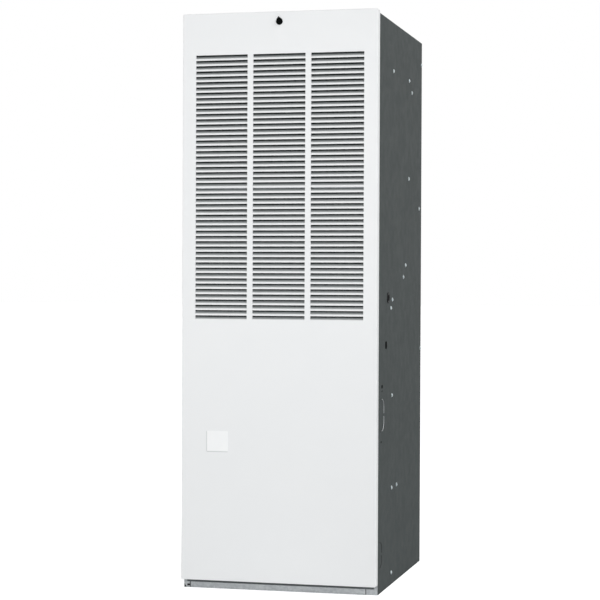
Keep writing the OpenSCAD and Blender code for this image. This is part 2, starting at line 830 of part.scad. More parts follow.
// Channels across the door that hold the two filters
module filter_rails() {
    w = filter_w / 2 + 4;
    back = filter_y + filter_t;
    color("silver") {
        // bottom channel
        block([-w, door_y + door_sheet, filter_bottom - filter_rail_t],
              [w, back + filter_rail_t, filter_bottom]);
        block([-w, back, filter_bottom], [w, back + filter_rail_t, filter_bottom + rail_lip]);
        // middle channel
        block([-w, filter_y, filter_mid - filter_gap / 2],
              [w, back + filter_rail_t, filter_mid + filter_gap / 2]);
        block([-w, back, filter_mid - rail_lip], [w, back + filter_rail_t, filter_mid + rail_lip]);
        // top channel
        block([-w, door_y + door_sheet, filter_top], [w, back + filter_rail_t, filter_top + filter_rail_t]);
        block([-w, back, filter_top - rail_lip], [w, back + filter_rail_t, filter_top]);
        // end straps that carry the middle channel
        for (x = [-w, w - 3])
            block([x, back, filter_bottom + rail_lip], [x + 3, back + filter_rail_t, filter_top - rail_lip]);
    }
}

// Cardboard frame with a pleated sheet standing in it
module filter(z) {
    w = filter_w / 2;
    fold = (filter_w - 2 * filter_rim) / filter_pleats;
    paper = 1.2;
    low = filter_y + 2;
    high = filter_y + filter_t - 2 - paper;
    difference() {
        block([-w, filter_y, z], [w, filter_y + filter_t, z + filter_h]);
        block([-w + filter_rim, filter_y - past, z + filter_rim],
              [w - filter_rim, filter_y + filter_t + past, z + filter_h - filter_rim]);
    }
    translate([0, 0, z + filter_rim]) linear_extrude(filter_h - 2 * filter_rim)
        polygon(concat(
            [for (i = [0 : filter_pleats]) [-w + filter_rim + i * fold, i % 2 == 0 ? low : high]],
            [for (i = [filter_pleats : -1 : 0])
                [-w + filter_rim + i * fold, (i % 2 == 0 ? low : high) + paper]]));
}

module filter_upper() {
    color("lightblue") filter(filter_mid + filter_gap / 2);
}

module filter_lower() {
    color("lightblue") filter(filter_bottom);
}

// Drop-shaped knob with a rib along it
module latch_knob() {
    color("black") {
        slab_y(door_y - 3, 3) {
            translate([0, latch_z]) circle(knob_r);
            polygon([[-knob_r * 0.9, latch_z + knob_r * 0.43], [knob_r * 0.9, latch_z + knob_r * 0.43],
                     [0.6, latch_z + knob_tip], [-0.6, latch_z + knob_tip]]);
        }
        block([-1.6, door_y - knob_out, latch_z - knob_r * 0.85],
              [1.6, door_y - 3, latch_z + knob_tip - 3]);
        bar_y([0, door_y - 3, latch_z], cam_y - door_y + 3, latch_shaft_r);
    }
}

module latch_cam() {
    color("silver") slab_y(cam_y, cam_t)
        round_rect([-cam_w / 2, latch_z - cam_len], [cam_w / 2, latch_z + cam_w / 2], 3);
}

// ---- Blower ----

function scroll_outline(inset) = concat(
    [[outlet_y1 - inset, neck_z]],
    [for (p = spiral(0, scroll_sweep, scroll_r_max - inset, scroll_r_min - inset))
        p + [blower_y, blower_z]],
    [[outlet_y0 + inset * cos(scroll_sweep) * 3, neck_z]]
);

module blower_housing() {
    color("lightsteelblue") {
        difference() {
            slab_x(scroll_x0, scroll_w) polygon(scroll_outline(0));
            slab_x(scroll_x0 + sheet_t, scroll_w - 2 * sheet_t) polygon(scroll_inside());
            bar_x([scroll_x0 - past, blower_y, blower_z], scroll_w + 2 * past, inlet_r);
            block([scroll_x0 + sheet_t, outlet_y0 + sheet_t, neck_z - past],
                  [scroll_x1 - sheet_t, outlet_y1 - sheet_t, neck_z + past]);
        }
        for (x = [scroll_x0 - neck_flange, scroll_x1])
            block([x, outlet_y0, neck_z], [x + neck_flange, outlet_y1, neck_z + sheet_t]);
    }
}
function scroll_inside() = concat(
    [[outlet_y1 - sheet_t, neck_z - past]],
    [for (p = spiral(0, scroll_sweep, scroll_r_max - sheet_t, scroll_r_min - sheet_t))
        p + [blower_y, blower_z]],
    [[outlet_y0 + sheet_t, blower_z - scroll_r_min - 4], [outlet_y0 + sheet_t, neck_z - past]]
);

// Wheel with curved-forward blades between two rings, carried by a disc in the middle
module blower_wheel() {
    ring_w = 8;
    blade_t = 1.2;
    blade_w = 16;
    hub_r = 14;
    hub_w = 24;
    x0 = blower_x - wheel_w / 2;
    color("gainsboro") difference() {
        union() {
            bar_x([blower_x - 1, blower_y, blower_z], 2, wheel_r - 1);
            bar_x([blower_x - hub_w / 2, blower_y, blower_z], hub_w, hub_r);
            for (x = [x0, x0 + wheel_w - ring_w]) difference() {
                bar_x([x, blower_y, blower_z], ring_w, wheel_r);
                bar_x([x - past, blower_y, blower_z], ring_w + 2 * past, wheel_r - 3);
            }
            for (i = [0 : wheel_blades - 1])
                translate([x0 + 1, blower_y, blower_z]) rotate([360 * i / wheel_blades, 0, 0])
                    translate([0, 0, wheel_r - 1.5]) rotate([-28, 0, 0])
                        translate([0, 0, -blade_w]) cube([wheel_w - 2, blade_t, blade_w]);
        }
        bar_x([x0 - past, blower_y, blower_z], wheel_w + 2 * past, shaft_r + running_gap);
    }
}

module blower_shaft() {
    color("silver") bar_x([blower_x - 18, blower_y, blower_z], motor_x - blower_x + 18 + 40, shaft_r);
}

module blower_motor() {
    color("dimgray") difference() {
        union() {
            bar_x([motor_x + 6, blower_y, blower_z], motor_len - 12, motor_r);
            bar_x([motor_x, blower_y, blower_z], motor_len, motor_r - 6);
            bar_x([motor_x - 4, blower_y, blower_z], motor_len + 4, 14);
        }
        bar_x([motor_x - 4 - past, blower_y, blower_z], 45 + past, shaft_r + running_gap);
        for (i = [0 : 11])
            translate([motor_x + motor_len - 12, blower_y, blower_z]) rotate([30 * i, 0, 0])
                translate([0, -2, motor_r - 16]) cube([14, 4, 9]);
    }
}

// Band round the motor with three arms on the housing's side
module motor_mount() {
    band_t = 2.4;
    band_w = 20;
    arm_w = 14;
    arm_t = 3;
    color("silver") {
        difference() {
            union() {
                bar_x([scroll_x1, blower_y, blower_z], band_w, motor_r + seat_gap + band_t);
                for (a = [90, 210, 330])
                    translate([scroll_x1, blower_y, blower_z]) rotate([a, 0, 0])
                        translate([0, -arm_w / 2, 0]) cube([arm_t, arm_w, inlet_r + 16]);
            }
            bar_x([scroll_x1 - past, blower_y, blower_z], band_w + 2 * past, motor_r + seat_gap);
        }
    }
}

module blower_rails() {
    wall = sheet_t;
    reach = neck_flange - 2;
    color("silver") for (s = [0, 1]) {
        out = s == 0 ? scroll_x0 - neck_flange - fit_gap : scroll_x1 + neck_flange + fit_gap;
        turn = s == 0 ? 1 : -1;
        x = [min(out, out + turn * reach), max(out, out + turn * reach)];
        web = [min(out, out - turn * wall), max(out, out - turn * wall)];
        block([x[0], outlet_y0, deck_top], [x[1], outlet_y1, neck_z]);
        block([web[0], outlet_y0, deck_top], [web[1], outlet_y1, neck_z + 2 * sheet_t + fit_gap]);
        block([x[0], outlet_y0, neck_z + sheet_t + fit_gap],
              [x[1], outlet_y1, neck_z + 2 * sheet_t + fit_gap]);
    }
}

module run_capacitor() {
    at = [blower_x - 50, vestibule_y + 52, deck_top];
    color("silver") {
        bar_z(at, 3, capacitor_r + 4);
        bar_z(at + [0, 0, 3], capacitor_h - 3, capacitor_r);
        bar_z(at + [0, 0, capacitor_h], 2, capacitor_r - 3);
        for (x = [-9, 9])
            translate(at + [x - 3, -0.4, capacitor_h + 2]) cube([6, 0.8, 9]);
    }
}

// ---- Controls ----

module control_box() {
    x1 = control_x + control_w;
    z1 = deck_top + control_h;
    color("silver") difference() {
        union() {
            block([control_x, control_y, deck_top], [x1, control_back, deck_top + sheet_t]);
            block([control_x, control_back - sheet_t, deck_top], [x1, control_back, z1]);
            for (x = [control_x, x1 - sheet_t])
                block([x, control_y, deck_top], [x + sheet_t, control_back, z1]);
            block([control_x, control_y, deck_top],
                  [x1, control_y + sheet_t, deck_top + switch_plate_h]);
        }
        bar_z([harness_x, harness_y, deck_top - past], sheet_t + 2 * past, harness_r);
        block([switch_x - 10 - seat_gap, control_y - past, switch_z - 14 - seat_gap],
              [switch_x + 10 + seat_gap, control_y + sheet_t + past, switch_z + 14 + seat_gap]);
    }
}

module control_board() {
    margin = 18;
    x0 = control_x + margin;
    x1 = control_x + control_w - margin;
    z0 = deck_top + switch_plate_h + 16;
    z1 = deck_top + control_h - 14;
    y = control_back - sheet_t - 8;
    color("seagreen") {
        block([x0, y - 1.6, z0], [x1, y, z1]);
        for (x = [x0 + 8, x1 - 8], z = [z0 + 8, z1 - 8])
            bar_y([x, y, z], 8, 3);
    }
    color("black") {
        for (i = [0 : 2])
            block([x0 + 14 + i * 30, y - 18, z1 - 40], [x0 + 36 + i * 30, y - 1.6, z1 - 12]);
        block([x0 + 20, y - 8, z0 + 70], [x0 + 60, y - 1.6, z0 + 84]);
    }
    color("white") block([x0 + 20, y - 13, z0 + 4], [x1 - 20, y - 1.6, z0 + 16]);
    color("silver") for (i = [0 : 2])
        bar_y([x1 - 20, y - 14, z0 + 44 + i * 18], 12.4, 6);
}

module transformer() {
    x = control_x + 88;
    y = control_y + 32;
    z = deck_top + sheet_t;
    color("dimgray") {
        block([x - 30, y - 18, z], [x + 18, y + 18, z + 2]);
        block([x - 24, y - 15, z + 2], [x + 12, y + 15, z + 44]);
    }
    color("goldenrod") block([x - 18, y - 22, z + 10], [x + 6, y + 22, z + 36]);
}

module service_switch() {
    color("black") difference() {
        union() {
            block([switch_x - 13, control_y - 2, switch_z - 17], [switch_x + 13, control_y, switch_z + 17]);
            block([switch_x - 10, control_y, switch_z - 14], [switch_x + 10, control_y + 20, switch_z + 14]);
        }
        block([switch_x - 7, control_y - 2 - past, switch_z - 11],
              [switch_x + 7, control_y + 14, switch_z + 11]);
        bar_x([switch_x - 9, rocker_y, switch_z], 18, rocker_pin_r + running_gap);
    }
}
module switch_rocker() {
    color("red") translate([0, rocker_y, switch_z]) rotate([-rocker_tilt, 0, 0]) {
        slab_x(switch_x - 6.5, 13)
            polygon([[-7, 9.5], [-4.5, 0], [-7, -9.5], [2, -6], [2, 6]]);
        bar_x([switch_x - 8.5, 0, 0], 17, rocker_pin_r);
    }
}

module door_switch() {
    color("black") difference() {
        block([plunger_x - 8, rail_front, door_switch_z - 14],
              [plunger_x + 8, rail_front + 26, door_switch_z + 14]);
        bar_y([plunger_x, rail_front - past, door_switch_z], 20 + past, plunger_r + running_gap);
    }
}

module door_switch_plunger() {
    color("white") bar_y([plunger_x, plunger_tip, door_switch_z],
                         rail_front - plunger_tip + 20 - plunger_travel - 1, plunger_r);
}

// ---- Vent pipes and heat exchanger ----

// Upright pipe with a stop bead at the height of the cabinet's top
module pipe(z0, z1, r, wall) {
    difference() {
        union() {
            bar_z([pipe_x, pipe_y, z0], z1 - z0, r);
            bar_z([pipe_x, pipe_y, cabinet_h], bead_h, r + bead_out);
        }
        bar_z([pipe_x, pipe_y, z0 - past], z1 - z0 + 2 * past, r - wall);
    }
}

module combustion_air_pipe() {
    color("lightgray") pipe(deck_top, pipe_top, air_pipe_r, pipe_t);
}

module flue_pipe() {
    color("lightgray") pipe(fan_box_top, pipe_top, flue_r, pipe_t);
}

module primary_drum() {
    collar_len = drum_y - vestibule_back;
    rib_w = 10;
    color("slategray") difference() {
        union() {
            bar_z([drum_x, drum_y, exchanger_z], exchanger_h, drum_r);
            for (i = [1 : 4])
                bar_z([drum_x, drum_y, exchanger_z + i * exchanger_h / 5 - rib_w / 2], rib_w, drum_r + 2);
            bar_y([drum_x, vestibule_back, burner_z], collar_len, burner_r + 12);
            bar_y([drum_x, vestibule_back, burner_z], exchanger_t, burner_r + 26);
            for (x = [-drum_r + 14, drum_r - 16])
                block([drum_x + x, drum_y - hanger_w / 2, exchanger_top],
                      [drum_x + x + hanger_t, drum_y + hanger_w / 2, deck_z]);
        }
        bar_z([drum_x, drum_y, exchanger_z + exchanger_t], exchanger_h - 2 * exchanger_t,
              drum_r - exchanger_t);
        bar_y([drum_x, vestibule_back - past, burner_z], collar_len, burner_r + 12 - exchanger_t);
        for (x = [-crossover_x, crossover_x])
            bar_y([drum_x + x, drum_y, crossover_z], drum_r + 10, crossover_r + seat_gap);
    }
}

module secondary_exchanger() {
    x0 = radiator_x - radiator_w / 2;
    x1 = radiator_x + radiator_w / 2;
    color("slategray") difference() {
        union() {
            block([x0, radiator_y, exchanger_z], [x1, radiator_y + radiator_d, exchanger_top]);
            for (x = [x0 + 6, x1 - 8])
                block([x, radiator_y + 10, exchanger_top],
                      [x + hanger_t, radiator_y + 10 + hanger_w, deck_z]);
        }
        block([x0 + exchanger_t, radiator_y + exchanger_t, exchanger_z + exchanger_t],
              [x1 - exchanger_t, radiator_y + radiator_d - exchanger_t, exchanger_top - exchanger_t]);
        for (x = [-crossover_x, crossover_x])
            bar_y([drum_x + x, radiator_y - past, crossover_z], exchanger_t + 2 * past,
                  crossover_r + seat_gap);
        bar_y([fan_x, radiator_y - past, fan_z], exchanger_t + 2 * past, return_r + seat_gap);
    }
}

module hollow_bar_y(start, len, r, wall) {
    difference() {
        bar_y(start, len, r);
        bar_y(start - [0, past, 0], len + 2 * past, r - wall);
    }
}

module exchanger_tubes() {
    end = radiator_y + exchanger_t + 2;
    start = drum_y + sqrt(drum_r * drum_r - crossover_x * crossover_x) - 12;
    color("slategray") {
        for (x = [-crossover_x, crossover_x])
            hollow_bar_y([drum_x + x, start, crossover_z], end - start, crossover_r, exchanger_t);
        hollow_bar_y([fan_x, vestibule_y, fan_z], end - vestibule_y, return_r, exchanger_t);
    }
}

// ---- Burner compartment ----

module burner_box() {
    w = burner_box_w / 2;
    h = burner_box_h / 2;
    x0 = drum_x - w;
    x1 = drum_x + w;
    color("silver") difference() {
        union() {
            block([x0, burner_front, burner_z - h], [x1, vestibule_y, burner_z + h]);
            bar_y([drum_x, burner_front - sight_t, sight_pivot_z], sight_t, 5);
        }
        block([x0 + sheet_t, burner_front + sheet_t, burner_z - h + sheet_t],
              [x1 - sheet_t, vestibule_y + past, burner_z + h - sheet_t]);
        bar_x([x1 - sheet_t - past, gas_y, burner_z], sheet_t + 2 * past, manifold_r + seat_gap);
        bar_y([drum_x, burner_front - past, sight_z], sheet_t + 2 * past, sight_r - 3);
        bar_y([drum_x, burner_front - sight_t - past, sight_pivot_z], sheet_t + sight_t + 2 * past,
              2.5 + running_gap);
        for (x = [-rod_x, rod_x])
            bar_z([drum_x + x, rod_y, box_top - sheet_t - past], sheet_t + 2 * past, 5 + seat_gap);
    }
}

// In-shot burner: a flared mouth, a throat and a body with a flange on the wall
module burner() {
    mouth = -62;
    wall = 1.2;
    color("silver") translate([drum_x, vestibule_y, burner_z]) rotate([-90, 0, 0]) {
        rotate_extrude()
            polygon([[burner_r, 14], [burner_r, -20], [12, -30], [12, -42], [22, mouth],
                     [22 - wall, mouth], [12 - wall, -42], [12 - wall, -30],
                     [burner_r - wall, -20], [burner_r - wall, 14]]);
        difference() {
            translate([0, 0, -1.5]) cylinder(r = burner_r + 14, h = 1.5);
            translate([0, 0, -1.5 - past]) cylinder(r = burner_r - wall / 2, h = 1.5 + 2 * past);
        }
    }
}

module manifold_pipe() {
    color("dimgray") {
        bar_x([drum_x - 10, gas_y, burner_z], valve_x - valve_w / 2 - drum_x + 10, manifold_r);
        bar_y([drum_x, gas_y, burner_z], 20, 5);
    }
}

module gas_valve() {
    color("lightsteelblue") difference() {
        union() {
            block([valve_x - valve_w / 2, valve_front, valve_z],
                  [valve_x + valve_w / 2, valve_front + valve_d, valve_z + valve_h]);
            bar_z([gas_x, gas_y, valve_z - 14], 14 + past, gas_inlet_r + 6);
            bar_x([valve_x - valve_w / 2 - 8, gas_y, burner_z], 8 + past, manifold_r + 6);
            bar_z([valve_x - 16, gas_y, valve_z + valve_h], 22, 14);
            bar_y([valve_x + 20, valve_front - 8, valve_z + 20], 8 + past, 10);
        }
        bar_z([gas_x, gas_y, valve_z - 14 - past], 26 + past, gas_inlet_r);
        bar_x([valve_x - valve_w / 2 - 8 - past, gas_y, burner_z], 8 + past, manifold_r + seat_gap);
        bar_y([valve_x - 10, valve_front - past, burner_z + 8], 8 + past, 4 + running_gap);
    }
    color("darkslategray") block([valve_x + 6, gas_y - 14, valve_z + valve_h],
                                 [valve_x + 30, gas_y + 14, valve_z + valve_h + 8]);
}

module gas_valve_knob() {
    x = valve_x - 10;
    z = burner_z + 8;
    color("royalblue") {
        bar_y([x, valve_front - 6, z], 6 - fit_gap, valve_knob_r);
        block([x - 3, valve_front - 14, z - valve_knob_r + 2],
              [x + 3, valve_front - 6, z + valve_knob_r - 2]);
        bar_y([x, valve_front - 2, z], 8, 4);
    }
}

module ignition_rods() {
    for (x = [-rod_x, rod_x]) {
        color("ivory") {
            bar_z([drum_x + x, rod_y, box_top - 26], 40, 5);
            bar_z([drum_x + x, rod_y, box_top], 3, 8);
        }
        color("silver") bar_z([drum_x + x, rod_y, burner_z - 4], box_top - 26 - burner_z + 5, 1.2);
    }
}

module limit_switches() {
    color("silver") {
        difference() {
            union() {
                bar_z([drum_x, reset_y, box_top], 2, 17);
                bar_z([drum_x, reset_y, box_top], 10, 13);
            }
            bar_z([drum_x, reset_y, box_top + 3], 8, reset_r + running_gap);
        }
        bar_y([limit_x, vestibule_y - 2, limit_z], 2, 17);
        bar_y([limit_x, vestibule_y - 10, limit_z], 8 + past, 13);
        for (x = [-5, 5])
            block([limit_x + x - 0.4, vestibule_y - 17, limit_z - 3],
                  [limit_x + x + 0.4, vestibule_y - 10, limit_z + 3]);
    }
}
module reset_button() {
    color("red") bar_z([drum_x, reset_y, box_top + 3 + reset_travel + 0.5], 9, reset_r);
}

module pressure_switch() {
    color("black") {
        bar_y([pressure_x, vestibule_y - 12, pressure_z], 12, pressure_r);
        bar_y([pressure_x, vestibule_y - 26, pressure_z], 14 + past, pressure_r - 6);
        bar_y([pressure_x, vestibule_y - 38, pressure_z], 12 + past, 3);
    }
}

module pressure_tube() {
    end = [fan_x + 46, fan_front - 8, fan_z + 34];
    color("orangered") cable([
        [pressure_x, vestibule_y - 38, pressure_z],
        [pressure_x, vestibule_y - 52, pressure_z],
        [150, vestibule_y - 74, pressure_z - 30],
        [70, vestibule_y - 80, pressure_z - 60],
        [-30, vestibule_y - 84, pressure_z - 76],
        end + [0, -22, 4],
        end + [0, -14, 0],
        end
    ], 4);
}

// ---- Draught fan ----

function fan_outline(inset, top) = concat(
    [[-fan_r_max + inset, top]],
    spiral(180, 280, fan_r_max - inset, fan_r_min - inset),
    [[(fan_r_min - inset) * cos(100), top]]
);

module fan_housing() {
    y0 = pipe_y - flue_r;
    y1 = pipe_y + flue_r;
    top = fan_box_z - fan_z + 20;
    color("lightgray") difference() {
        union() {
            translate([fan_x, 0, fan_z]) slab_y(fan_front, fan_d) polygon(fan_outline(0, top));
            block([pipe_x - flue_r, y0, fan_box_z], [pipe_x + flue_r, y1, fan_box_top]);
            block([pipe_x - fan_flange_w, pipe_y - fan_flange_w, fan_box_top - fan_wall],
                  [pipe_x + fan_flange_w, pipe_y + fan_flange_w, fan_box_top]);
            bar_z([pipe_x, pipe_y, fan_box_top], fan_socket_h, fan_collar_r);
            bar_y([fan_x + 46, fan_front - 8, fan_z + 34], 9, 3);
        }
        translate([fan_x, 0, fan_z]) slab_y(fan_front + fan_wall, fan_d - 2 * fan_wall)
            polygon(fan_outline(fan_wall, top - fan_wall));
        block([pipe_x - flue_r + fan_wall, y0 + fan_wall, fan_box_z + fan_wall],
              [pipe_x + flue_r - fan_wall, y1 - fan_wall, fan_box_top - fan_wall]);
        bar_z([pipe_x, pipe_y, fan_box_top - 2 * fan_wall], 3 * fan_wall, flue_r - pipe_t);
        bar_z([pipe_x, pipe_y, fan_box_top], fan_socket_h + past, fan_socket_r);
        bar_y([fan_x, vestibule_y - fan_wall - past, fan_z], fan_wall + 2 * past, return_r - exchanger_t);
        bar_y([fan_x, fan_front - past, fan_z], fan_wall + 2 * past, 8);
    }
}

// Paddle wheel, its shaft and the small cooling fan in front of the motor
module fan_wheel() {
    back = vestibule_y - 12;
    depth = 34;
    front = fan_motor_front - 4;
    color("silver") {
        bar_y([fan_x, back - 1.5, fan_z], 1.5, fan_wheel_r);
        bar_y([fan_x, back - depth, fan_z], depth, 9);
        for (i = [0 : 11])
            translate([fan_x, back - depth + 4, fan_z]) rotate([0, 30 * i, 0])
                translate([12, 0, -0.6]) cube([fan_wheel_r - 13, depth - 4.5, 1.2]);
        bar_y([fan_x, front - 12, fan_z], back - depth - front + 13, fan_shaft_r);
        bar_y([fan_x, front - 10, fan_z], 2, 32);
        for (i = [0 : 5])
            translate([fan_x, front - 9, fan_z]) rotate([0, 60 * i, 0])
                translate([8, 0, -0.6]) cube([23, 9, 1.2]);
    }
}

module fan_motor() {
    color("dimgray") difference() {
        union() {
            bar_y([fan_x, fan_front - fan_plate_t, fan_z], fan_plate_t, fan_motor_r + 6);
            bar_y([fan_x, fan_motor_front + 4, fan_z], fan_motor_len - 4 + past, fan_motor_r);
            bar_y([fan_x, fan_motor_front, fan_z], fan_motor_len, fan_motor_r - 8);
            block([fan_x + 15, fan_motor_front + 16, fan_z + 25],
                  [fan_x + 31, fan_motor_front + 36, fan_z + fan_motor_r + 6]);
        }
        bar_y([fan_x, fan_motor_front - past, fan_z], fan_motor_len + fan_plate_t + 2 * past,
              fan_shaft_r + running_gap);
    }
}

module sight_glass() {
    color("lightcyan") bar_y([drum_x, burner_front - sight_t, sight_z], sight_t, sight_r);
}

module sight_cover() {
    y = burner_front - sight_t - fit_gap - 1.2;
    color("silver") {
        slab_y(y, 1.2) {
            translate([drum_x, sight_z]) circle(sight_r + 3);
            translate([drum_x - 7, sight_z]) square([14, sight_pivot_z - sight_z]);
            translate([drum_x, sight_pivot_z]) circle(7);
        }
        bar_y([drum_x, y, sight_pivot_z], sight_t + fit_gap + 2.4, 2.5);
        bar_y([drum_x, y - 1.5, sight_pivot_z], 1.5 + 0.5, 4.5);
    }
}

// ---- Wiring held inside the cabinet ----

module wiring_harness() {
    color("darkorange") {
        // control board to gas valve
        cable([
            [control_x + 110, control_back - 32, deck_top + 72],
            [control_x + 130, harness_y + 4, deck_top + 50],
            [harness_x + 4, harness_y + 2, deck_top + 30],
            [harness_x + 4, harness_y + 2, deck_top - 40],
            [harness_x + 8, harness_y, valve_z + valve_h + 140],
            [valve_x + 18, gas_y, valve_z + valve_h + 60],
            [valve_x + 18, gas_y, valve_z + valve_h + 20],
            [valve_x + 18, gas_y, valve_z + valve_h + 8]
        ], 4);
        // control board to draught fan
        cable([
            [control_x + 90, control_back - 32, deck_top + 72],
            [control_x + 112, harness_y - 10, deck_top + 58],
            [harness_x - 6, harness_y - 5, deck_top + 34],
            [harness_x - 6, harness_y - 5, deck_top - 40],
            [harness_x - 100, harness_y - 2, deck_z - 100],
            [fan_x + 87, harness_y - 2, deck_z - 140],
            [fan_x + 23, fan_motor_front + 26, fan_z + 110],
            [fan_x + 23, fan_motor_front + 26, fan_z + fan_motor_r + 20],
            [fan_x + 23, fan_motor_front + 26, fan_z + fan_motor_r + 6]
        ], 3);
        // control box to blower motor
        cable([
            [motor_x + motor_len, blower_y + 20, blower_z],
            [motor_x + motor_len + 18, blower_y + 20, blower_z],
            [motor_x + motor_len + 24, blower_y - 60, blower_z + 6],
            [motor_lead_x, control_back + 40, blower_z + 10],
            [motor_lead_x, control_back + 12, blower_z + 10],
            [motor_lead_x, control_back, blower_z + 10]
        ], 3.5);
        // door switch to control box
        cable([
            [plunger_x, rail_front + 26, door_switch_z],
            [plunger_x, rail_front + 38, door_switch_z],
            [plunger_x - 6, control_y + 20, door_switch_z - 60],
            [plunger_x - 8, control_back - 20, deck_top + control_h + 90],
            [control_x + control_w - 0.6, control_back - 20, deck_top + control_h + 30],
            [control_x + control_w - 0.6, control_back - 20, deck_top + control_h]
        ], 2);
    }
}

cabinet_left_side();
cabinet_right_side();
cabinet_back();
top_panel();
header_rail();
divider_rail();
base_pan();
base_front_rail();
base_brackets();
insulation_lower();
insulation_upper();
cabinet_screws();
cable_bushing();
coil_rails();
blower_deck();
vestibule_panel();
front_door();
door_label();
door_gasket();
door_insulation();
filter_rails();
filter_upper();
filter_lower();
latch_knob();
latch_cam();
blower_housing();
blower_wheel();
blower_shaft();
blower_motor();
motor_mount();
blower_rails();
run_capacitor();
control_box();
control_board();
transformer();
service_switch();
switch_rocker();
door_switch();
door_switch_plunger();
combustion_air_pipe();
flue_pipe();
primary_drum();
secondary_exchanger();
exchanger_tubes();
burner_box();
burner();
manifold_pipe();
gas_valve();
gas_valve_knob();
ignition_rods();
limit_switches();
reset_button();
pressure_switch();
pressure_tube();
fan_housing();
fan_wheel();
fan_motor();
sight_glass();
sight_cover();
wiring_harness();
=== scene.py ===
import json
import math

import bmesh
import bpy
from mathutils import Matrix, Vector


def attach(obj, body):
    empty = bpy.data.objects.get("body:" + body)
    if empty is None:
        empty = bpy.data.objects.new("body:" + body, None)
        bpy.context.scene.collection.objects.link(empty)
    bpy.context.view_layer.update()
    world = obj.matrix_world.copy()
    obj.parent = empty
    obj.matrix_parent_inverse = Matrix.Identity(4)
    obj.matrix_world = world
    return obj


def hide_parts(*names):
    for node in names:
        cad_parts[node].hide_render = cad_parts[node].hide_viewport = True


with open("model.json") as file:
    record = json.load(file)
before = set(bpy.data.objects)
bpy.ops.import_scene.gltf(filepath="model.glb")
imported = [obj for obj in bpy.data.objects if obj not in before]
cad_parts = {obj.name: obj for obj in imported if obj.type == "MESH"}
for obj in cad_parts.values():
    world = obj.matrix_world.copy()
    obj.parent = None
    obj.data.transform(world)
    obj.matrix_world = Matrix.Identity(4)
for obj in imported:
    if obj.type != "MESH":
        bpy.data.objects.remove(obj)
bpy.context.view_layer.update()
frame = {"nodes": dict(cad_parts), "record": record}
cadNodes = frame["nodes"]
slotOf = {part["node"]: part["material_slot"] for part in frame["record"]["subparts"]}
bodyOf = {node: body for body, nodes in frame["record"]["behaviour"]["bodies"].items() for node in nodes}
axes = toRight, toBack, toTop = Vector((1, 0, 0)), Vector((0, 1, 0)), Vector((0, 0, 1))
toFront = -toBack
print("frame loaded:", len(cadNodes), "nodes")


# Starting, picking and finishing

def clearPick():
    if bpy.context.mode != "OBJECT":
        bpy.ops.object.mode_set(mode="OBJECT")
    bpy.ops.object.select_all(action="DESELECT")


def focus(obj):
    clearPick()
    obj.select_set(True)
    bpy.context.view_layer.objects.active = obj


def settle(obj):
    focus(obj)
    bpy.ops.object.transform_apply(location=True, rotation=True, scale=True)
    return obj


def startEdit(obj):
    focus(obj)
    bpy.ops.object.mode_set(mode="EDIT")
    bpy.ops.mesh.select_all(action="DESELECT")


def endEdit():
    bpy.ops.object.mode_set(mode="OBJECT")


def pick(kind, test):
    # test gets a vertex's place, an edge's middle and edge, or a face's middle and normal
    bpy.ops.mesh.select_mode(type=kind)
    bpy.ops.mesh.select_all(action="DESELECT")
    data = bpy.context.edit_object.data
    mesh = bmesh.from_edit_mesh(data)
    mesh.normal_update()
    if kind == "VERT":
        hits = [v for v in mesh.verts if test(v.co)]
    elif kind == "EDGE":
        hits = [e for e in mesh.edges if test((e.verts[0].co + e.verts[1].co) / 2, e)]
    else:
        hits = [f for f in mesh.faces if test(f.calc_center_median(), f.normal)]
    for hit in hits:
        hit.select_set(True)
    mesh.select_flush_mode()
    bmesh.update_edit_mesh(data)


def pickSide(side):
    pick("FACE", lambda middle, normal: normal.dot(side) > .9)


def pickAll():
    bpy.ops.mesh.select_all(action="SELECT")


def same(first, second, within=1e-5):
    return abs(first - second) < within


def straight(edge, axis):
    run = edge.verts[1].co - edge.verts[0].co
    return run.length > 0 and abs(run[axis]) > .999 * run.length


def move(x=0, y=0, z=0):
    bpy.ops.transform.translate(value=(x, y, z))


def resize(scale, centre):
    bpy.ops.transform.resize(value=scale, center_override=centre)


def inset(*steps):
    # each step is a width and a depth
    for width, depth in steps:
        bpy.ops.mesh.inset(thickness=width, depth=depth)


def bevelPicked(width, segments, affect="EDGES"):
    bpy.ops.mesh.bevel(offset=width, segments=segments, affect=affect, clamp_overlap=True)


def cutAcross(place, normal):
    pickAll()
    bpy.ops.mesh.bisect(plane_co=place, plane_no=normal)


def mergeClose(distance=1e-5):
    pickAll()
    bpy.ops.mesh.remove_doubles(threshold=distance)


def insetSide(obj, side, *steps):
    startEdit(obj)
    pickSide(side)
    inset(*steps)
    endEdit()
    return obj


def narrowSide(obj, side, scale, centre):
    startEdit(obj)
    pickSide(side)
    resize(scale, centre)
    endEdit()
    return obj


def roundAlong(obj, axis, width, segments):
    startEdit(obj)
    pick("EDGE", lambda middle, edge: straight(edge, axis))
    bevelPicked(width, segments)
    endEdit()
    return obj


def nameIt(name):
    obj = bpy.context.active_object
    obj.name = name
    obj.data.name = name
    return obj


def startSheet(name, centre, wide, tall, tilt=90):
    clearPick()
    bpy.ops.mesh.primitive_plane_add(size=1, location=centre, rotation=(math.radians(tilt), 0, 0))
    obj = nameIt(name)
    obj.scale = (wide, tall, 1)
    return settle(obj)


def startBox(name, low, high):
    clearPick()
    low, high = Vector(low), Vector(high)
    bpy.ops.mesh.primitive_cube_add(size=1, location=(low + high) / 2)
    obj = nameIt(name)
    obj.scale = high - low
    return settle(obj)


def startRod(name, start, end, radius, sides=32):
    clearPick()
    start, end = Vector(start), Vector(end)
    run = end - start
    aim = run.to_track_quat("Z", "Y").to_euler()
    bpy.ops.mesh.primitive_cylinder_add(vertices=sides, radius=radius, depth=run.length,
                                        location=(start + end) / 2, rotation=aim)
    return settle(nameIt(name))


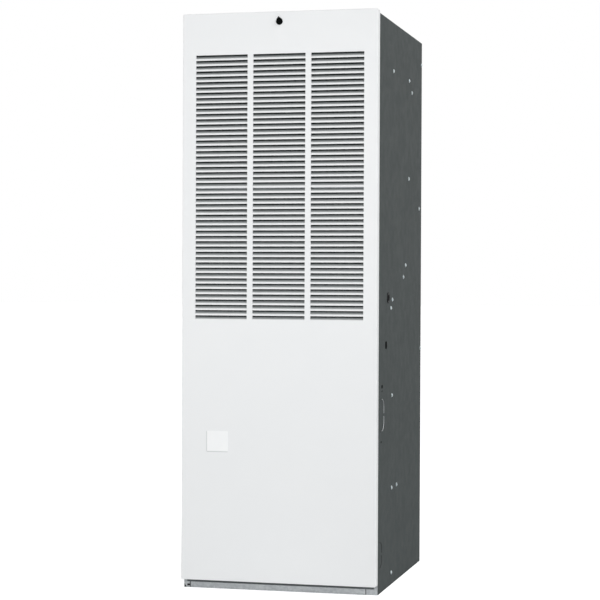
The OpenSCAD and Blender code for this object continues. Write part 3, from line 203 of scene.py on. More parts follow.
def startRing(name, centre, turn, radius, thick, sides, thickSides):
    clearPick()
    bpy.ops.mesh.primitive_torus_add(major_radius=radius, minor_radius=thick, major_segments=sides,
                                     minor_segments=thickSides, location=centre, rotation=turn)
    return settle(nameIt(name))


def startHose(name, points, radius, sides):
    clearPick()
    bpy.ops.curve.primitive_nurbs_path_add()
    hose = bpy.context.active_object
    hose.name = name
    data = hose.data
    data.splines.clear()
    line = data.splines.new("POLY")
    line.points.add(len(points) - 1)
    for spot, point in zip(line.points, points):
        spot.co = (*point, 1)
    data.dimensions = "3D"
    data.bevel_depth = radius
    data.bevel_resolution = (sides - 4) // 2
    data.use_fill_caps = True
    bpy.ops.object.convert(target="MESH")
    return smooth(settle(nameIt(name)), 50)


def applyModifier(obj, kind, **settings):
    focus(obj)
    modifier = obj.modifiers.new(kind.title(), kind)
    for key, value in settings.items():
        setattr(modifier, key, value)
    bpy.ops.object.modifier_apply(modifier=modifier.name)


def smooth(obj, degrees=35):
    focus(obj)
    bpy.ops.object.shade_smooth_by_angle(angle=math.radians(degrees))
    return obj


def keepFlats(obj):
    # large faces keep their own normal beside a narrow bevel
    applyModifier(obj, "WEIGHTED_NORMAL", keep_sharp=True, weight=100)
    return obj


def softenEdges(obj, width, segments=2, degrees=40):
    applyModifier(obj, "BEVEL", width=width, segments=segments, limit_method="ANGLE",
                  angle_limit=math.radians(degrees), use_clamp_overlap=True)
    return keepFlats(smooth(obj))


def softBox(name, low, high, width, segments=2):
    return softenEdges(startBox(name, low, high), width, segments)


def softRod(name, start, end, radius, sides, width, segments=2, degrees=40):
    return softenEdges(startRod(name, start, end, radius, sides), width, segments, degrees)


def hexNut(name, start, end, radius):
    return softRod(name, start, end, radius, 6, .0003, 2, 25)


def copyPiece(obj, name, matrix):
    made = obj.copy()
    made.data = obj.data.copy()
    made.name = made.data.name = name
    bpy.context.scene.collection.objects.link(made)
    made.data.transform(matrix)
    if matrix.determinant() < 0:
        made.data.flip_normals()
    return made


def repeat(first, name, matrices):
    # copies take the place of the first one
    copies = [copyPiece(first, name, matrix) for matrix in matrices]
    bpy.data.objects.remove(first)
    return copies


def turned(degrees, axis):
    return Matrix.Rotation(math.radians(degrees), 4, axis)


def joinPieces(name, pieces):
    clearPick()
    for piece in pieces:
        piece.select_set(True)
    bpy.context.view_layer.objects.active = pieces[0]
    if len(pieces) > 1:
        bpy.ops.object.join()
    return nameIt(name)


def place(obj, body, slot, finish, *replaced):
    # rides on its body in its finish, in place of the CAD nodes named last
    obj.data.materials.clear()
    obj.data.materials.append(finish)
    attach(obj, body)
    if replaced:
        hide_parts(*replaced)


def placeAs(obj, node, finish=None):
    place(obj, bodyOf[node], slotOf[node], finish or finishes[slotOf[node]], node)


def addTo(obj, node, slot, finish=None):
    # a small fitting that rides with a node without standing in for it
    place(obj, bodyOf[node], slot, finish or finishes[slot])


# Finishes

def setInputs(node, inputs):
    # a socket is linked, a plain value is set
    for key, value in inputs.items():
        if isinstance(value, bpy.types.NodeSocket):
            node.id_data.links.new(value, node.inputs[key])
        else:
            node.inputs[key].default_value = value


def addNode(tree, kind, inputs=None, **settings):
    made = tree.nodes.new("ShaderNode" + kind)
    for key, value in settings.items():
        setattr(made, key, value)
    setInputs(made, inputs or {})
    return made


def newFinish(name):
    finish = bpy.data.materials.new(name)
    finish.use_nodes = True
    return finish, addNode(finish.node_tree, "TexCoord").outputs["Object"]


def dress(finish, inputs, *bump):
    # bump is a height, a strength and a distance, and lies over the bump that is there already
    surface = finish.node_tree.nodes["Principled BSDF"]
    setInputs(surface, inputs)
    if bump:
        under = [link.from_socket for link in surface.inputs["Normal"].links]
        relief = dict(zip(("Height", "Strength", "Distance", "Normal"), (*bump, *under)))
        setInputs(surface, {"Normal": addNode(finish.node_tree, "Bump", relief).outputs["Normal"]})
    return finish


def mapped(coords, key, value):
    return addNode(coords.id_data, "Mapping", {"Vector": coords, key: value}).outputs["Vector"]


def noise(coords, scale, detail=3, roughness=.55, distortion=0, output="Fac"):
    inputs = {"Vector": coords, "Scale": scale, "Detail": detail, "Roughness": roughness,
              "Distortion": distortion}
    return addNode(coords.id_data, "TexNoise", inputs).outputs[output]


def cells(coords, scale, output="Distance", distance="EUCLIDEAN"):
    inputs = {"Vector": coords, "Scale": scale}
    return addNode(coords.id_data, "TexVoronoi", inputs, distance=distance).outputs[output]


def bands(coords, scale, distortion, direction):
    inputs = {"Vector": coords, "Scale": scale, "Distortion": distortion}
    return addNode(coords.id_data, "TexWave", inputs, bands_direction=direction).outputs["Fac"]


def remap(value, low, high, fromLow=.3, fromHigh=.7):
    return addNode(value.id_data, "MapRange", {"Value": value, "From Min": fromLow, "From Max": fromHigh,
                                               "To Min": low, "To Max": high}).outputs["Result"]


def blend(factor, *tones):
    first, second = (tone if isinstance(tone, bpy.types.NodeSocket) else (*tone, 1) for tone in tones)
    return addNode(factor.id_data, "Mix", {0: factor, 6: first, 7: second}, data_type="RGBA").outputs[2]


def combine(operation, first, second):
    return addNode(first.id_data, "Math", {0: first, 1: second}, operation=operation).outputs[0]


def paint(name, color, shade, roughness, patch, grain, grainDepth, fleck=None, coat=0, gloss=.5):
    # sprayed or baked enamel: slow drift in tone, fine orange peel
    finish, coords = newFinish(name)
    tone = blend(remap(noise(coords, patch, 4), 0, 1), shade, color)
    if fleck:
        speck = remap(noise(coords, fleck["scale"], 2, .7), 0, fleck["amount"], .52, .68)
        tone = blend(speck, tone, fleck["color"])
    return dress(finish, {"Base Color": tone, "Roughness": remap(noise(coords, 34), *roughness),
                          "Specular IOR Level": gloss, "Coat Weight": coat, "Coat Roughness": .25},
                 noise(coords, grain, 2), .35, grainDepth)


def tintWhere(finish, mask, color):
    # the mask is made from the split place on the object
    tree = finish.node_tree
    base = tree.nodes["Principled BSDF"].inputs["Base Color"].links[0].from_socket
    spot = addNode(tree, "SeparateXYZ", {"Vector": addNode(tree, "TexCoord").outputs["Object"]}).outputs
    return dress(finish, {"Base Color": blend(mask(spot), base, color)})


def zincSheet(name, light, dark, cell, roughness):
    # hot-dip coating: angular crystals that differ a little in tone and gloss
    finish, coords = newFinish(name)
    tree = finish.node_tree
    warp = noise(coords, cell * .6, 2, .5, output="Color")
    shift = addNode(tree, "VectorMath", {0: warp, 3: .006}, operation="SCALE").outputs[0]
    bent = addNode(tree, "VectorMath", {0: coords, 1: shift}, operation="ADD").outputs[0]
    level = addNode(tree, "SeparateColor", {"Color": cells(bent, cell, "Color")}).outputs[0]
    stain = remap(noise(coords, 9, 4), 0, .25, .45, .75)
    tone = blend(stain, blend(level, dark, light), [c * .72 for c in dark])
    streak = noise(mapped(coords, "Scale", (1, 1, .06)), 700, 2)
    return dress(finish, {"Base Color": tone, "Metallic": .85, "Roughness": remap(level, *roughness, 0, 1)},
                 combine("ADD", streak, level), .12, .00005)


def brushedMetal(name, light, dark, stretch, scale, roughness, metallic=1):
    finish, coords = newFinish(name)
    lines = noise(mapped(coords, "Scale", stretch) if stretch else coords, scale, 3, .65)
    cloud = remap(noise(coords, 22), 0, .35, .45, .7)
    tone = blend(cloud, blend(remap(lines, 0, 1), dark, light), dark)
    return dress(finish, {"Base Color": tone, "Metallic": metallic, "Roughness": remap(lines, *roughness)},
                 lines, .2, .00004)


def moulded(name, color, shade, roughness, grain=900, grainDepth=.00008, gloss=.5):
    finish, coords = newFinish(name)
    tone = blend(remap(noise(coords, 60), 0, 1), shade, color)
    fine = noise(coords, grain, 3, .7)
    return dress(finish, {"Base Color": tone, "Roughness": remap(fine, *roughness),
                          "Specular IOR Level": gloss}, fine, .3, grainDepth)


def cellFoam(name, color, shade):
    finish, coords = newFinish(name)
    bubbles = cells(coords, 700)
    tone = blend(remap(bubbles, 0, 1, .1, .7), shade, color)
    return dress(finish, {"Base Color": tone, "Roughness": .92}, bubbles, .6, .0004)


def foilFacing(name, light, dark):
    # foil on glass wool: fine crinkles and a mesh of reinforcing threads under it
    finish, coords = newFinish(name)
    crinkle = noise(coords, 55, 6, .68)
    threads = None
    for degrees in (0, 60, -60):
        turn = math.radians(degrees)
        ridge = remap(bands(mapped(coords, "Rotation", (turn, turn, 0)), 26, .4, "Z"), 0, 1, .93, 1)
        threads = combine("MAXIMUM", threads, ridge) if threads else ridge
    tone = blend(combine("MULTIPLY", threads, .25), blend(remap(crinkle, 0, 1), dark, light), light)
    dress(finish, {"Base Color": tone, "Metallic": .9, "Roughness": remap(crinkle, .22, .45)},
          crinkle, .55, .0012)
    return dress(finish, {}, threads, .5, .0003)


def fibreMat(name, color, shade, scale=260, depth=.0005):
    finish, coords = newFinish(name)
    strands = noise(coords, scale, 6, .75, 1.6)
    clumps = remap(noise(coords, 30), 0, .3, .45, .7)
    tone = blend(clumps, blend(remap(strands, 0, 1, .38, .62), shade, color), shade)
    return dress(finish, {"Base Color": tone, "Roughness": .95}, strands, .6, depth)


def cardBoard(name, color, shade):
    finish, coords = newFinish(name)
    fibres = noise(mapped(coords, "Scale", (.25, 1, 1)), 420, 5, .7)
    flutes = remap(bands(coords, 60, .3, "Z"), 0, .12, 0, 1)
    tone = blend(flutes, blend(remap(fibres, 0, 1), shade, color), shade)
    return dress(finish, {"Base Color": tone, "Roughness": .85}, fibres, .3, .0002)


def boardMask(name, mask, track, pad):
    # solder mask over a generic web of copper tracks and pads
    finish, coords = newFinish(name)
    tracks = cells(coords, 210, distance="MANHATTAN")
    pads = remap(cells(coords, 330), 1, 0, .05, .12)
    tone = blend(pads, blend(remap(tracks, 1, 0, .12, .3), mask, track), pad)
    return dress(finish, {"Base Color": tone, "Roughness": remap(noise(coords, 90), .22, .36)},
                 tracks, .25, .0001)


def laminated(name, color, shade):
    # stacked core plates under varnish
    finish, coords = newFinish(name)
    plates = bands(coords, 330, .25, "X")
    tone = blend(remap(plates, 0, 1, .2, .8), shade, color)
    return dress(finish, {"Base Color": tone, "Metallic": .5, "Roughness": remap(noise(coords, 120), .3, .5)},
                 plates, .5, .00015)


def clearGlass(name, color, shade):
    finish, coords = newFinish(name)
    haze = noise(coords, 140, 4)
    return dress(finish, {"Base Color": blend(remap(haze, 0, 1), shade, color),
                          "Roughness": remap(haze, .02, .09), "Transmission Weight": 1, "IOR": 1.47})


def heatedSheet(name, light, dark, tint):
    # aluminised steel that has been hot: dull grey, clouded with straw brown
    finish, coords = newFinish(name)
    cloud = noise(coords, 7, 5)
    grain = noise(mapped(coords, "Scale", (1, 1, .1)), 260)
    tone = blend(remap(cloud, 0, .5, .5, .72), blend(remap(grain, 0, 1), dark, light), tint)
    return dress(finish, {"Base Color": tone, "Metallic": .8, "Roughness": remap(cloud, .42, .6)},
                 grain, .25, .0001)


label = {"low": (-.183, -.3025, .343), "high": (-.128, -.3021, .395), "corner": .0022, "edge": .00012}


def louvreRecessShade(spot):
    # painted shade: the enamel is greyed down the louvre blades, more the deeper they go into the recess
    across = remap(combine("ABSOLUTE", spot["X"], 0), 1, 0, .216, .218)
    return combine("MULTIPLY", across, remap(spot["Y"], 0, .80, -.3020, -.2986))


def labelRimShadow(spot):
    # painted shadow: the label's left and lower rims are greyed as a thin shadow along them
    left, low = label["low"][0], label["low"][2]
    return combine("MAXIMUM", remap(spot["X"], 1, 0, left + .0008, left + .0018),
                   remap(spot["Z"], 1, 0, low + .0010, low + .0022))


finishes = {
    "cabinet_paint": paint("cabinetGreyEnamel", (.0595, .069, .0685), (.054, .0625, .062), (.6, .7), 11, 420,
                           .00008, {"scale": 130, "amount": .25, "color": (.070, .080, .079)}, gloss=.12),
    # white enamel with painted shade greyed into the louvre recesses
    "white_enamel": tintWhere(paint("whiteEnamel", (.862, .872, .875), (.846, .858, .864), (.38, .44), 3, 900,
                                    .00003, gloss=.35), louvreRecessShade, (.195, .220, .222)),
    "galvanised": zincSheet("spangledZinc", (.48, .50, .51), (.385, .405, .42), 190, (.38, .48)),
    "zinc_bright": brushedMetal("brightZinc", (.80, .87, .88), (.64, .70, .72), None, 500, (.26, .42), .7),
    # blank label film with a painted shadow along its left and lower rims
    "label_film": tintWhere(paint("blankLabelFilm", (.935, .945, .945), (.915, .925, .93), (.30, .38), 30, 90,
                                  .00003), labelRimShadow, (.55, .57, .57)),
    "gasket_foam": cellFoam("blackGasketFoam", (.035, .035, .037), (.012, .012, .013)),
    # grey foam that stands in as the painted shadow line under the door's foot
    "footShadeFoam": cellFoam("footShadeGreyFoam", (.16, .172, .176), (.085, .095, .1)),
    "foil_wool": foilFacing("foilFacing", (.80, .81, .82), (.58, .59, .61)),
    "black_liner": fibreMat("coatedGlassLiner", (.060, .060, .062), (.022, .022, .024)),
    "wool": fibreMat("glassWool", (.80, .66, .22), (.58, .44, .10), 420, .0006),
    "media": fibreMat("filterMedia", (.038, .042, .042), (.026, .030, .030), 330, .0004),
    "filter_card": cardBoard("filterCard", (.034, .038, .038), (.022, .025, .025)),
    "black_plastic": moulded("blackMoulding", (.009, .0095, .010), (.005, .005, .006), (.42, .55), gloss=.14),
    "mattBlack": moulded("mattBlackMoulding", (.005, .006, .006), (.0025, .003, .003), (.75, .9), gloss=.03),
    "blue_plastic": moulded("blueMoulding", (.035, .11, .42), (.025, .08, .33), (.28, .4)),
    "red_plastic": moulded("redMoulding", (.52, .028, .018), (.40, .018, .012), (.25, .38)),
    "white_plastic": moulded("whiteMoulding", (.80, .80, .77), (.72, .71, .67), (.35, .5)),
    "silicone": moulded("siliconeHose", (.56, .085, .03), (.45, .06, .02), (.4, .55), 500),
    "wire_jacket": moulded("wireJacket", (.03, .03, .032), (.018, .018, .02), (.4, .55), 700),
    "motor_enamel": paint("motorEnamel", (.032, .033, .036), (.020, .021, .024), (.3, .46), 40, 300, .0001),
    "steel_bright": brushedMetal("groundSteel", (.66, .66, .67), (.48, .48, .49), (.05, 1, 1), 1200,
                                 (.16, .3)),
    "aluminised": heatedSheet("aluminisedSteel", (.52, .52, .50), (.38, .38, .37), (.36, .29, .20)),
    "black_pipe": paint("blackPipe", (.030, .029, .028), (.045, .036, .030), (.45, .62), 30, 500, .0002),
    "cast_alloy": paint("castAlloy", (.50, .51, .52), (.40, .41, .42), (.38, .55), 45, 900, .00025),
    "ceramic": paint("glazedCeramic", (.82, .79, .71), (.74, .70, .62), (.12, .22), 60, 200, .00004, coat=.5),
    "glass": clearGlass("sightGlass", (.94, .97, .96), (.86, .93, .92)),
    "circuit_board": boardMask("solderMask", (.012, .11, .04), (.03, .22, .085), (.5, .47, .36)),
    "transformer_iron": laminated("coreLaminations", (.16, .15, .14), (.05, .048, .045)),
    "tape": paint("windingTape", (.62, .47, .12), (.52, .38, .08), (.3, .42), 60, 400, .00008),
}
for nodeName, obj in cadNodes.items():
    obj.data.materials.clear()
    obj.data.materials.append(finishes[slotOf[nodeName]])
print("finishes ready:", len(finishes))


# Camera at the photograph's angle, studio light, floor

view = {"azimuth": 13.836, "elevation": .488, "roll": .237, "place": (1.1272, -4.6562, .7594), "lens": 109.73}
studio = {
    "sky": .25,
    "keyPlace": (-.25, -3.9, 1.3), "keyTarget": (0, -.3, .9), "keyPower": 55, "keySize": 1.5,
    "fillAim": (62, 0, 75), "fillStrength": 1.75, "fillSize": 60,
    "floorSize": 120, "floorColor": (.80, .81, .82), "floorLift": .80,
}


def makeCamera():
    turn, tip, roll = (math.radians(view[key]) for key in ("azimuth", "elevation", "roll"))
    ahead = Vector((-math.sin(turn) * math.cos(tip), math.cos(turn) * math.cos(tip), -math.sin(tip)))
    right = Vector((math.cos(turn), math.sin(turn), 0))
    up = right.cross(ahead)
    right, up = right * math.cos(roll) + up * math.sin(roll), up * math.cos(roll) - right * math.sin(roll)
    clearPick()
    bpy.ops.object.camera_add(location=view["place"])
    camera = bpy.context.active_object
    camera.name = "photoCamera"
    aim = Matrix((right, up, -ahead)).transposed().to_4x4()
    camera.matrix_world = Matrix.Translation(view["place"]) @ aim
    camera.data.lens = view["lens"]
    camera.data.sensor_width = 36
    camera.data.clip_end = 200
    bpy.context.scene.camera = camera


def makeLight():
    aim = (Vector(studio["keyTarget"]) - Vector(studio["keyPlace"])).to_track_quat("-Z", "Y").to_euler()
    clearPick()
    bpy.ops.object.light_add(type="AREA", location=studio["keyPlace"], rotation=aim)
    key = bpy.context.active_object
    key.name = "keySoftbox"
    key.data.energy = studio["keyPower"]
    key.data.size = studio["keySize"]
    clearPick()
    aim = [math.radians(degrees) for degrees in studio["fillAim"]]
    bpy.ops.object.light_add(type="SUN", location=(0, 0, 4), rotation=aim)
    fill = bpy.context.active_object
    fill.name = "fillSun"
    fill.data.energy = studio["fillStrength"]
    fill.data.angle = math.radians(studio["fillSize"])
    # white where it is seen, also in metal and through glass, and low as a lamp
    world = bpy.data.worlds.new("studioSky")
    world.use_nodes = True
    bpy.context.scene.world = world
    rays = addNode(world.node_tree, "LightPath").outputs
    seen = combine("MAXIMUM", rays["Is Camera Ray"],
                   combine("MAXIMUM", rays["Is Glossy Ray"], rays["Is Transmission Ray"]))
    setInputs(world.node_tree.nodes["Background"], {"Color": (1, 1, 1, 1),
                                                    "Strength": remap(seen, studio["sky"], 1, 0, 1)})


def makeFloor():
    floor = startSheet("studioFloor", (0, 0, 0), studio["floorSize"], studio["floorSize"], 0)
    finish, coords = newFinish("paleFloor")
    tone = blend(noise(coords, .8, 2), studio["floorColor"], [c * 1.02 for c in studio["floorColor"]])
    seen = addNode(finish.node_tree, "LightPath").outputs["Is Camera Ray"]
    floor.data.materials.append(dress(finish, {
        "Base Color": tone, "Roughness": .9, "Specular IOR Level": 0, "Emission Color": (1, 1, 1, 1),
        "Emission Strength": combine("MULTIPLY", seen, studio["floorLift"])}))


bpy.context.scene.view_settings.view_transform = "Standard"
makeCamera()
makeLight()
makeFloor()
print("studio ready")


# Door: one pan of sheet steel, cut and pressed into louvres

door = {
    "half": .2475, "low": .023, "top": 1.430, "front": -.3021, "depth": .023, "sheet": .001,
    "corner": .004, "cornerSteps": 6, "bend": .0016, "bendSteps": 4, "lip": .014, "lipStart": .0005,
    "columns": 3, "rows": 50, "pitch": .01316, "width": .1325, "mullion": .0145, "bankTop": 1.3265,
    "window": .0093, "slot": .0032, "reach": .007, "bladeBend": .0009, "bladeSteps": 3,
    "latchHole": (0, 1.405, .0038), "studHoles": ((-.238, .030, .0033), (.238, .030, .0033)),
}


def pressLouvres():
    d = door
    front = d["front"]
    bank = d["columns"] * d["width"] + (d["columns"] - 1) * d["mullion"]
    columns = [i * (d["width"] + d["mullion"]) - bank / 2 for i in range(d["columns"])]
    rows = [d["bankTop"] - i * d["pitch"] for i in range(d["rows"])]

    def inWindow(x, z):
        return (any(left < x < left + d["width"] for left in columns)
                and any(top - d["window"] < z < top for top in rows))

    for x in columns:
        cutAcross((x, front, 0), toRight)
        cutAcross((x + d["width"], front, 0), toRight)
    for z in rows:
        cutAcross((0, front, z), toTop)
        cutAcross((0, front, z - d["window"]), toTop)
    # the windows go in, their top edge drops to the slot, their foot comes back to the sheet
    pick("FACE", lambda middle, normal: inWindow(middle.x, middle.z))
    bpy.ops.mesh.extrude_region_move(TRANSFORM_OT_translate={"value": (0, d["reach"], 0)})
    deep = front + .9 * d["reach"]
    for level, shift in ((0, {"z": -d["slot"]}), (d["window"], {"y": -d["reach"]})):
        pick("VERT", lambda p: p.y > deep and any(same(p.z, z - level, 1e-4) for z in rows))
        move(**shift)
    mergeClose()
    # the slot opens above each blade, which leaves the sheet in a soft bend
    pick("FACE", lambda middle, normal: middle.y > front + .3 * d["reach"] and abs(normal.x) < .5
         and any(z - d["slot"] + .0002 < middle.z < z for z in rows))
    bpy.ops.mesh.delete(type="FACE")
    pick("EDGE", lambda middle, edge: straight(edge, 0) and same(middle.y, front)
         and inWindow(middle.x, middle.z + 1e-4) and any(same(middle.z, z - d["window"]) for z in rows))
    bevelPicked(d["bladeBend"], d["bladeSteps"])


def foldSides():
    d = door
    front, fold = d["front"], d["depth"] - d["sheet"]
    level, halfTall = (d["low"] + d["top"]) / 2, (d["top"] - d["low"]) / 2

    def onOutline(p):
        return min(d["half"] - abs(p.x), p.z - d["low"], d["top"] - p.z) < d["corner"] + 1e-5

    pick("VERT", lambda p: same(abs(p.x), d["half"]) and same(abs(p.z - level), halfTall))
    bevelPicked(d["corner"], d["cornerSteps"], "VERTICES")
    pick("EDGE", lambda middle, edge: edge.is_boundary and all(onOutline(v.co) for v in edge.verts))
    for depth in (fold, d["lipStart"]):
        bpy.ops.mesh.extrude_edges_move(TRANSFORM_OT_translate={"value": (0, depth, 0)})
    behind = front + fold + .8 * d["lipStart"]
    for x, z, half in ((1, 0, d["half"]), (-1, 0, d["half"]), (0, 1, halfTall), (0, -1, halfTall)):
        pick("VERT", lambda p: p.y > behind and x * p.x + z * (p.z - level) > half - 1.01 * d["corner"])
        move(-x * d["lip"], 0, -z * d["lip"])
    pick("VERT", lambda p: p.y > behind)
    move(y=-d["lipStart"])
    pick("EDGE", lambda middle, edge: len(edge.link_faces) == 2 and onOutline(middle)
         and all(same(v.co.y, front) for v in edge.verts)
         and any(abs(f.normal.y) < .5 for f in edge.link_faces))
    bevelPicked(d["bend"], d["bendSteps"])


def makeDoor():
    d = door
    front, back = d["front"], d["front"] + d["depth"] - d["sheet"]
    pan = startSheet("doorPan", (0, front, (d["low"] + d["top"]) / 2), 2 * d["half"], d["top"] - d["low"])
    startEdit(pan)
    pressLouvres()
    foldSides()
    endEdit()
    applyModifier(pan, "SOLIDIFY", thickness=d["sheet"], offset=-1, use_even_offset=True, thickness_clamp=1)
    for (x, z, radius), y in ((d["latchHole"], front), *((hole, back) for hole in d["studHoles"])):
        drill = startRod("drill", (x, y - .004, z), (x, y + .004, z), radius, 24)
        applyModifier(pan, "BOOLEAN", operation="DIFFERENCE", object=drill, solver="EXACT")
        bpy.data.objects.remove(drill)
    placeAs(keepFlats(smooth(pan, 30)), "front_door")
    print("door pan:", len(pan.data.polygons), "faces")


makeDoor()


# Blank label

def makeLabel():
    film = roundAlong(startBox("blankLabel", label["low"], label["high"]), 1, label["corner"], 5)
    startEdit(film)
    pick("EDGE", lambda middle, edge: same(middle.y, label["low"][1], 1e-6) and not straight(edge, 1))
    bevelPicked(label["edge"], 2)
    endEdit()
    placeAs(keepFlats(smooth(film)), "door_label")


makeLabel()


# Latch knob: a drop with a raised finger grip along it

knob = {
    "centre": (0, 1.405), "front": -.3021, "radius": .0082, "sides": 32, "plate": .003,
    "tip": .0129, "lean": -.0026, "pulls": {1: (.44, .28, .26, .30, .13), -1: (.53, .47, .26, .19, .10)},
    "dish": ((.0009, .0004), (.0006, -.0003)), "out": .007, "grip": .0032, "shaft": .0035, "shaftEnd": -.2743,
}


def makeKnob():
    k = knob
    x, z = k["centre"]
    front, radius, reach = k["front"], k["radius"], k["tip"] - k["radius"]
    body = startRod("latchKnob", (x, front, z), (x, front - k["plate"], z), radius, k["sides"])
    startEdit(body)
    for side, pulls in k["pulls"].items():
        for step, pull in enumerate(pulls, 1):
            angle = 2 * math.pi * step / k["sides"]
            pick("VERT", lambda p: same(p.x - x, side * radius * math.sin(angle), 2e-4)
                 and same(p.z - z, radius * math.cos(angle), 2e-4))
            move(k["lean"] * pull, z=pull * reach)
    pick("VERT", lambda p: same(p.x, x, 1e-4) and same(p.z, z + radius, 1e-4))
    move(k["lean"], z=reach)
    endEdit()
    softenEdges(insetSide(body, toFront, *k["dish"]), .0004)
    grip = startBox("grip", (x - k["grip"] / 2, front - k["out"], z - .85 * radius),
                    (x + k["grip"] / 2, front - .5 * k["plate"], z + k["tip"] - .0045))
    softenEdges(narrowSide(grip, toFront, (.6, 1, .86), (x, front - k["out"], z + .002)), .0006, 3)
    stem = softRod("stem", (x, front - .0005, z), (x, k["shaftEnd"], z), k["shaft"], 24, .0003, 1)
    placeAs(joinPieces("latchKnob", [body, grip, stem]), "latch_knob", finishes["mattBlack"])


makeKnob()


# Folded sheet, castings and mouldings: CAD shapes with their edges eased

def easedCopy(node, width):
    made = bpy.data.objects.new(node + "Eased", cadNodes[node].data.copy())
    bpy.context.scene.collection.objects.link(made)
    startEdit(made)
    mergeClose(1e-6)
    pickAll()
    bpy.ops.mesh.dissolve_limited(angle_limit=math.radians(.6))
    endEdit()
    return softenEdges(made, width)


easedEdges = {
    "cabinet_left_side": .0003, "cabinet_right_side": .0003, "cabinet_back": .0003, "top_panel": .0003,
    "header_rail": .0003, "divider_rail": .0003, "base_pan": .0003, "base_front_rail": .0004,
    "base_brackets": .0003, "coil_rails": .0003, "blower_deck": .0003, "vestibule_panel": .0003,
    "filter_rails": .0003, "latch_cam": .0004, "blower_housing": .0003, "blower_rails": .0003,
    "blower_shaft": .0005, "blower_motor": .0018, "motor_mount": .0006, "control_box": .0003,
    "service_switch": .0007, "switch_rocker": .0006, "door_switch": .0009, "door_switch_plunger": .0006,
    "combustion_air_pipe": .0003, "flue_pipe": .0003, "primary_drum": .0008, "secondary_exchanger": .0007,
    "exchanger_tubes": .0004, "burner_box": .0004, "burner": .0003, "manifold_pipe": .0006,
    "gas_valve": .0014, "ignition_rods": .0005, "fan_housing": .0004, "fan_motor": .0014, "fan_wheel": .0002,
    "limit_switches": .0003, "reset_button": .0006, "pressure_switch": .0012, "sight_glass": .0005,
    "sight_cover": .0003, "cable_bushing": .0006,
}
for nodeName, width in easedEdges.items():
    placeAs(easedCopy(nodeName, width), nodeName)
print("eased copies:", len(easedEdges))


# Thread-forming screws with a washer face and a six-sided head

screw = {
    "washer": .0052, "washerThick": .0008, "washerRim": (.0009, .0001),
    "head": .004, "headThick": .0014, "headDish": ((.0007, .0002), (.0008, -.0006)), "shank": .002,
    "sideSpots": ((.176, 1.300), (.393, 1.299), (.433, 1.271), (.576, 1.361), (.392, 1.040), (.548, .967),
                  (.350, .811), (.320, .780), (.170, .722), (.153, .701), (.170, .480), (.576, .586),
                  (.235, .247), (.170, .246), (.170, .031)),
    "sideTurn": 37, "front": -.2773, "half": .247,
    "backZ": (.060, .480, .900, 1.362), "backTurn": 23, "back": .3067, "backX": .239,
}


def makeScrew():
    # points along +X with its washer face at the origin
    s = screw
    thick = s["washerThick"]
    washer = startRod("washer", (0, 0, 0), (thick, 0, 0), s["washer"], 24)
    softenEdges(insetSide(washer, toRight, s["washerRim"]), .0002)
    head = startRod("head", (.8 * thick, 0, 0), (thick + s["headThick"], 0, 0), s["head"], 6)
    softenEdges(insetSide(head, toRight, *s["headDish"]), .0002, 2, 25)
    shank = startRod("shank", (-.0011, 0, 0), (.0004, 0, 0), s["shank"], 12)
    return joinPieces("screw", [washer, head, shank])


def makeScrews():
    s = screw
    spots = []
    for index, (back, z) in enumerate(s["sideSpots"]):
        turn = turned(s["sideTurn"] * index, "X")
        y = s["front"] + back
        spots += [Matrix.Translation((s["half"], y, z)) @ turn,
                  Matrix.Translation((-s["half"], y, z)) @ turned(180, "Z") @ turn]
    for x in (-s["backX"], s["backX"]):
        spots += [Matrix.Translation((x, s["back"], z)) @ turned(90, "Z") @ turned(s["backTurn"] * index, "X")
                  for index, z in enumerate(s["backZ"])]
    placeAs(smooth(joinPieces("sheetScrews", repeat(makeScrew(), "screwCopy", spots)), 30), "cabinet_screws")


makeScrews()


# Case details: rims round the knock-outs, the low one black as painted shade in its slit; black plugs in the
# spare holes as painted shade; grey foam under the door's foot as its painted shadow line, and black foam as
# painted shade in the rail seam and the bracket notch

caseTrim = {
    "face": .247, "front": -.2773, "bead": .0010, "tab": .0035, "tail": .006,
    "notches": (("gasLineRim", .438, .078, .067, .022, "galvanised"),
                # painted shade: the low notch's bead is black foam where its slit lies in shadow
                ("lowNotchShadeBead", .095, .062, .047, .018, "gasket_foam")),
    "plugs": ((.092, .609, .0096, .0009), (.040, .508, .0044, .0001), (.042, .497, .0021, .0001),
              (.034, .372, .0025, .0001)),
    # painted shadow: the grey foam strip lies where the door's foot throws its shadow line on the rail
    "strips": (("footShadeStrip", (-.2385, -.2803, .0148), (.2385, -.2784, .0203), "footShadeFoam"),
               # painted shade: black foam strips fill the rail seam and the bracket notch where they lie in
               # shadow
               ("seamShadeStrip", (.2165, -.2783, .0005), (.2195, -.2775, .0200), "gasket_foam"),
               ("notchShadeStrip", (-.2385, -.2783, .0035), (-.2300, -.2775, .0095), "gasket_foam")),
}


def notchPath(middle, tall, deep, corner, upward):
    # from the tab in the middle round the corner towards the front
    c = caseTrim
    back, top = c["front"] + deep, middle + upward * tall / 2
    path = [(c["face"], back, middle + upward * c["tab"])]
    for step in range(9):
        turn = math.radians(step * 11.25)
        across, along = corner * (1 - math.cos(turn)), corner * (1 - math.sin(turn))
        path.append((c["face"], back - across, top - upward * along))
    return path + [(c["face"], back - corner - c["tail"], top)]


def addBothSides(name, pieces, slot, finish=None):
    # made on the right side, mirrored to the left
    left = [copyPiece(piece, name + "Copy", Matrix.Scale(-1, 4, toRight)) for piece in pieces]
    addTo(joinPieces(name + "Right", pieces), "cabinet_right_side", slot, finish)
    addTo(joinPieces(name + "Left", left), "cabinet_left_side", slot, finish)


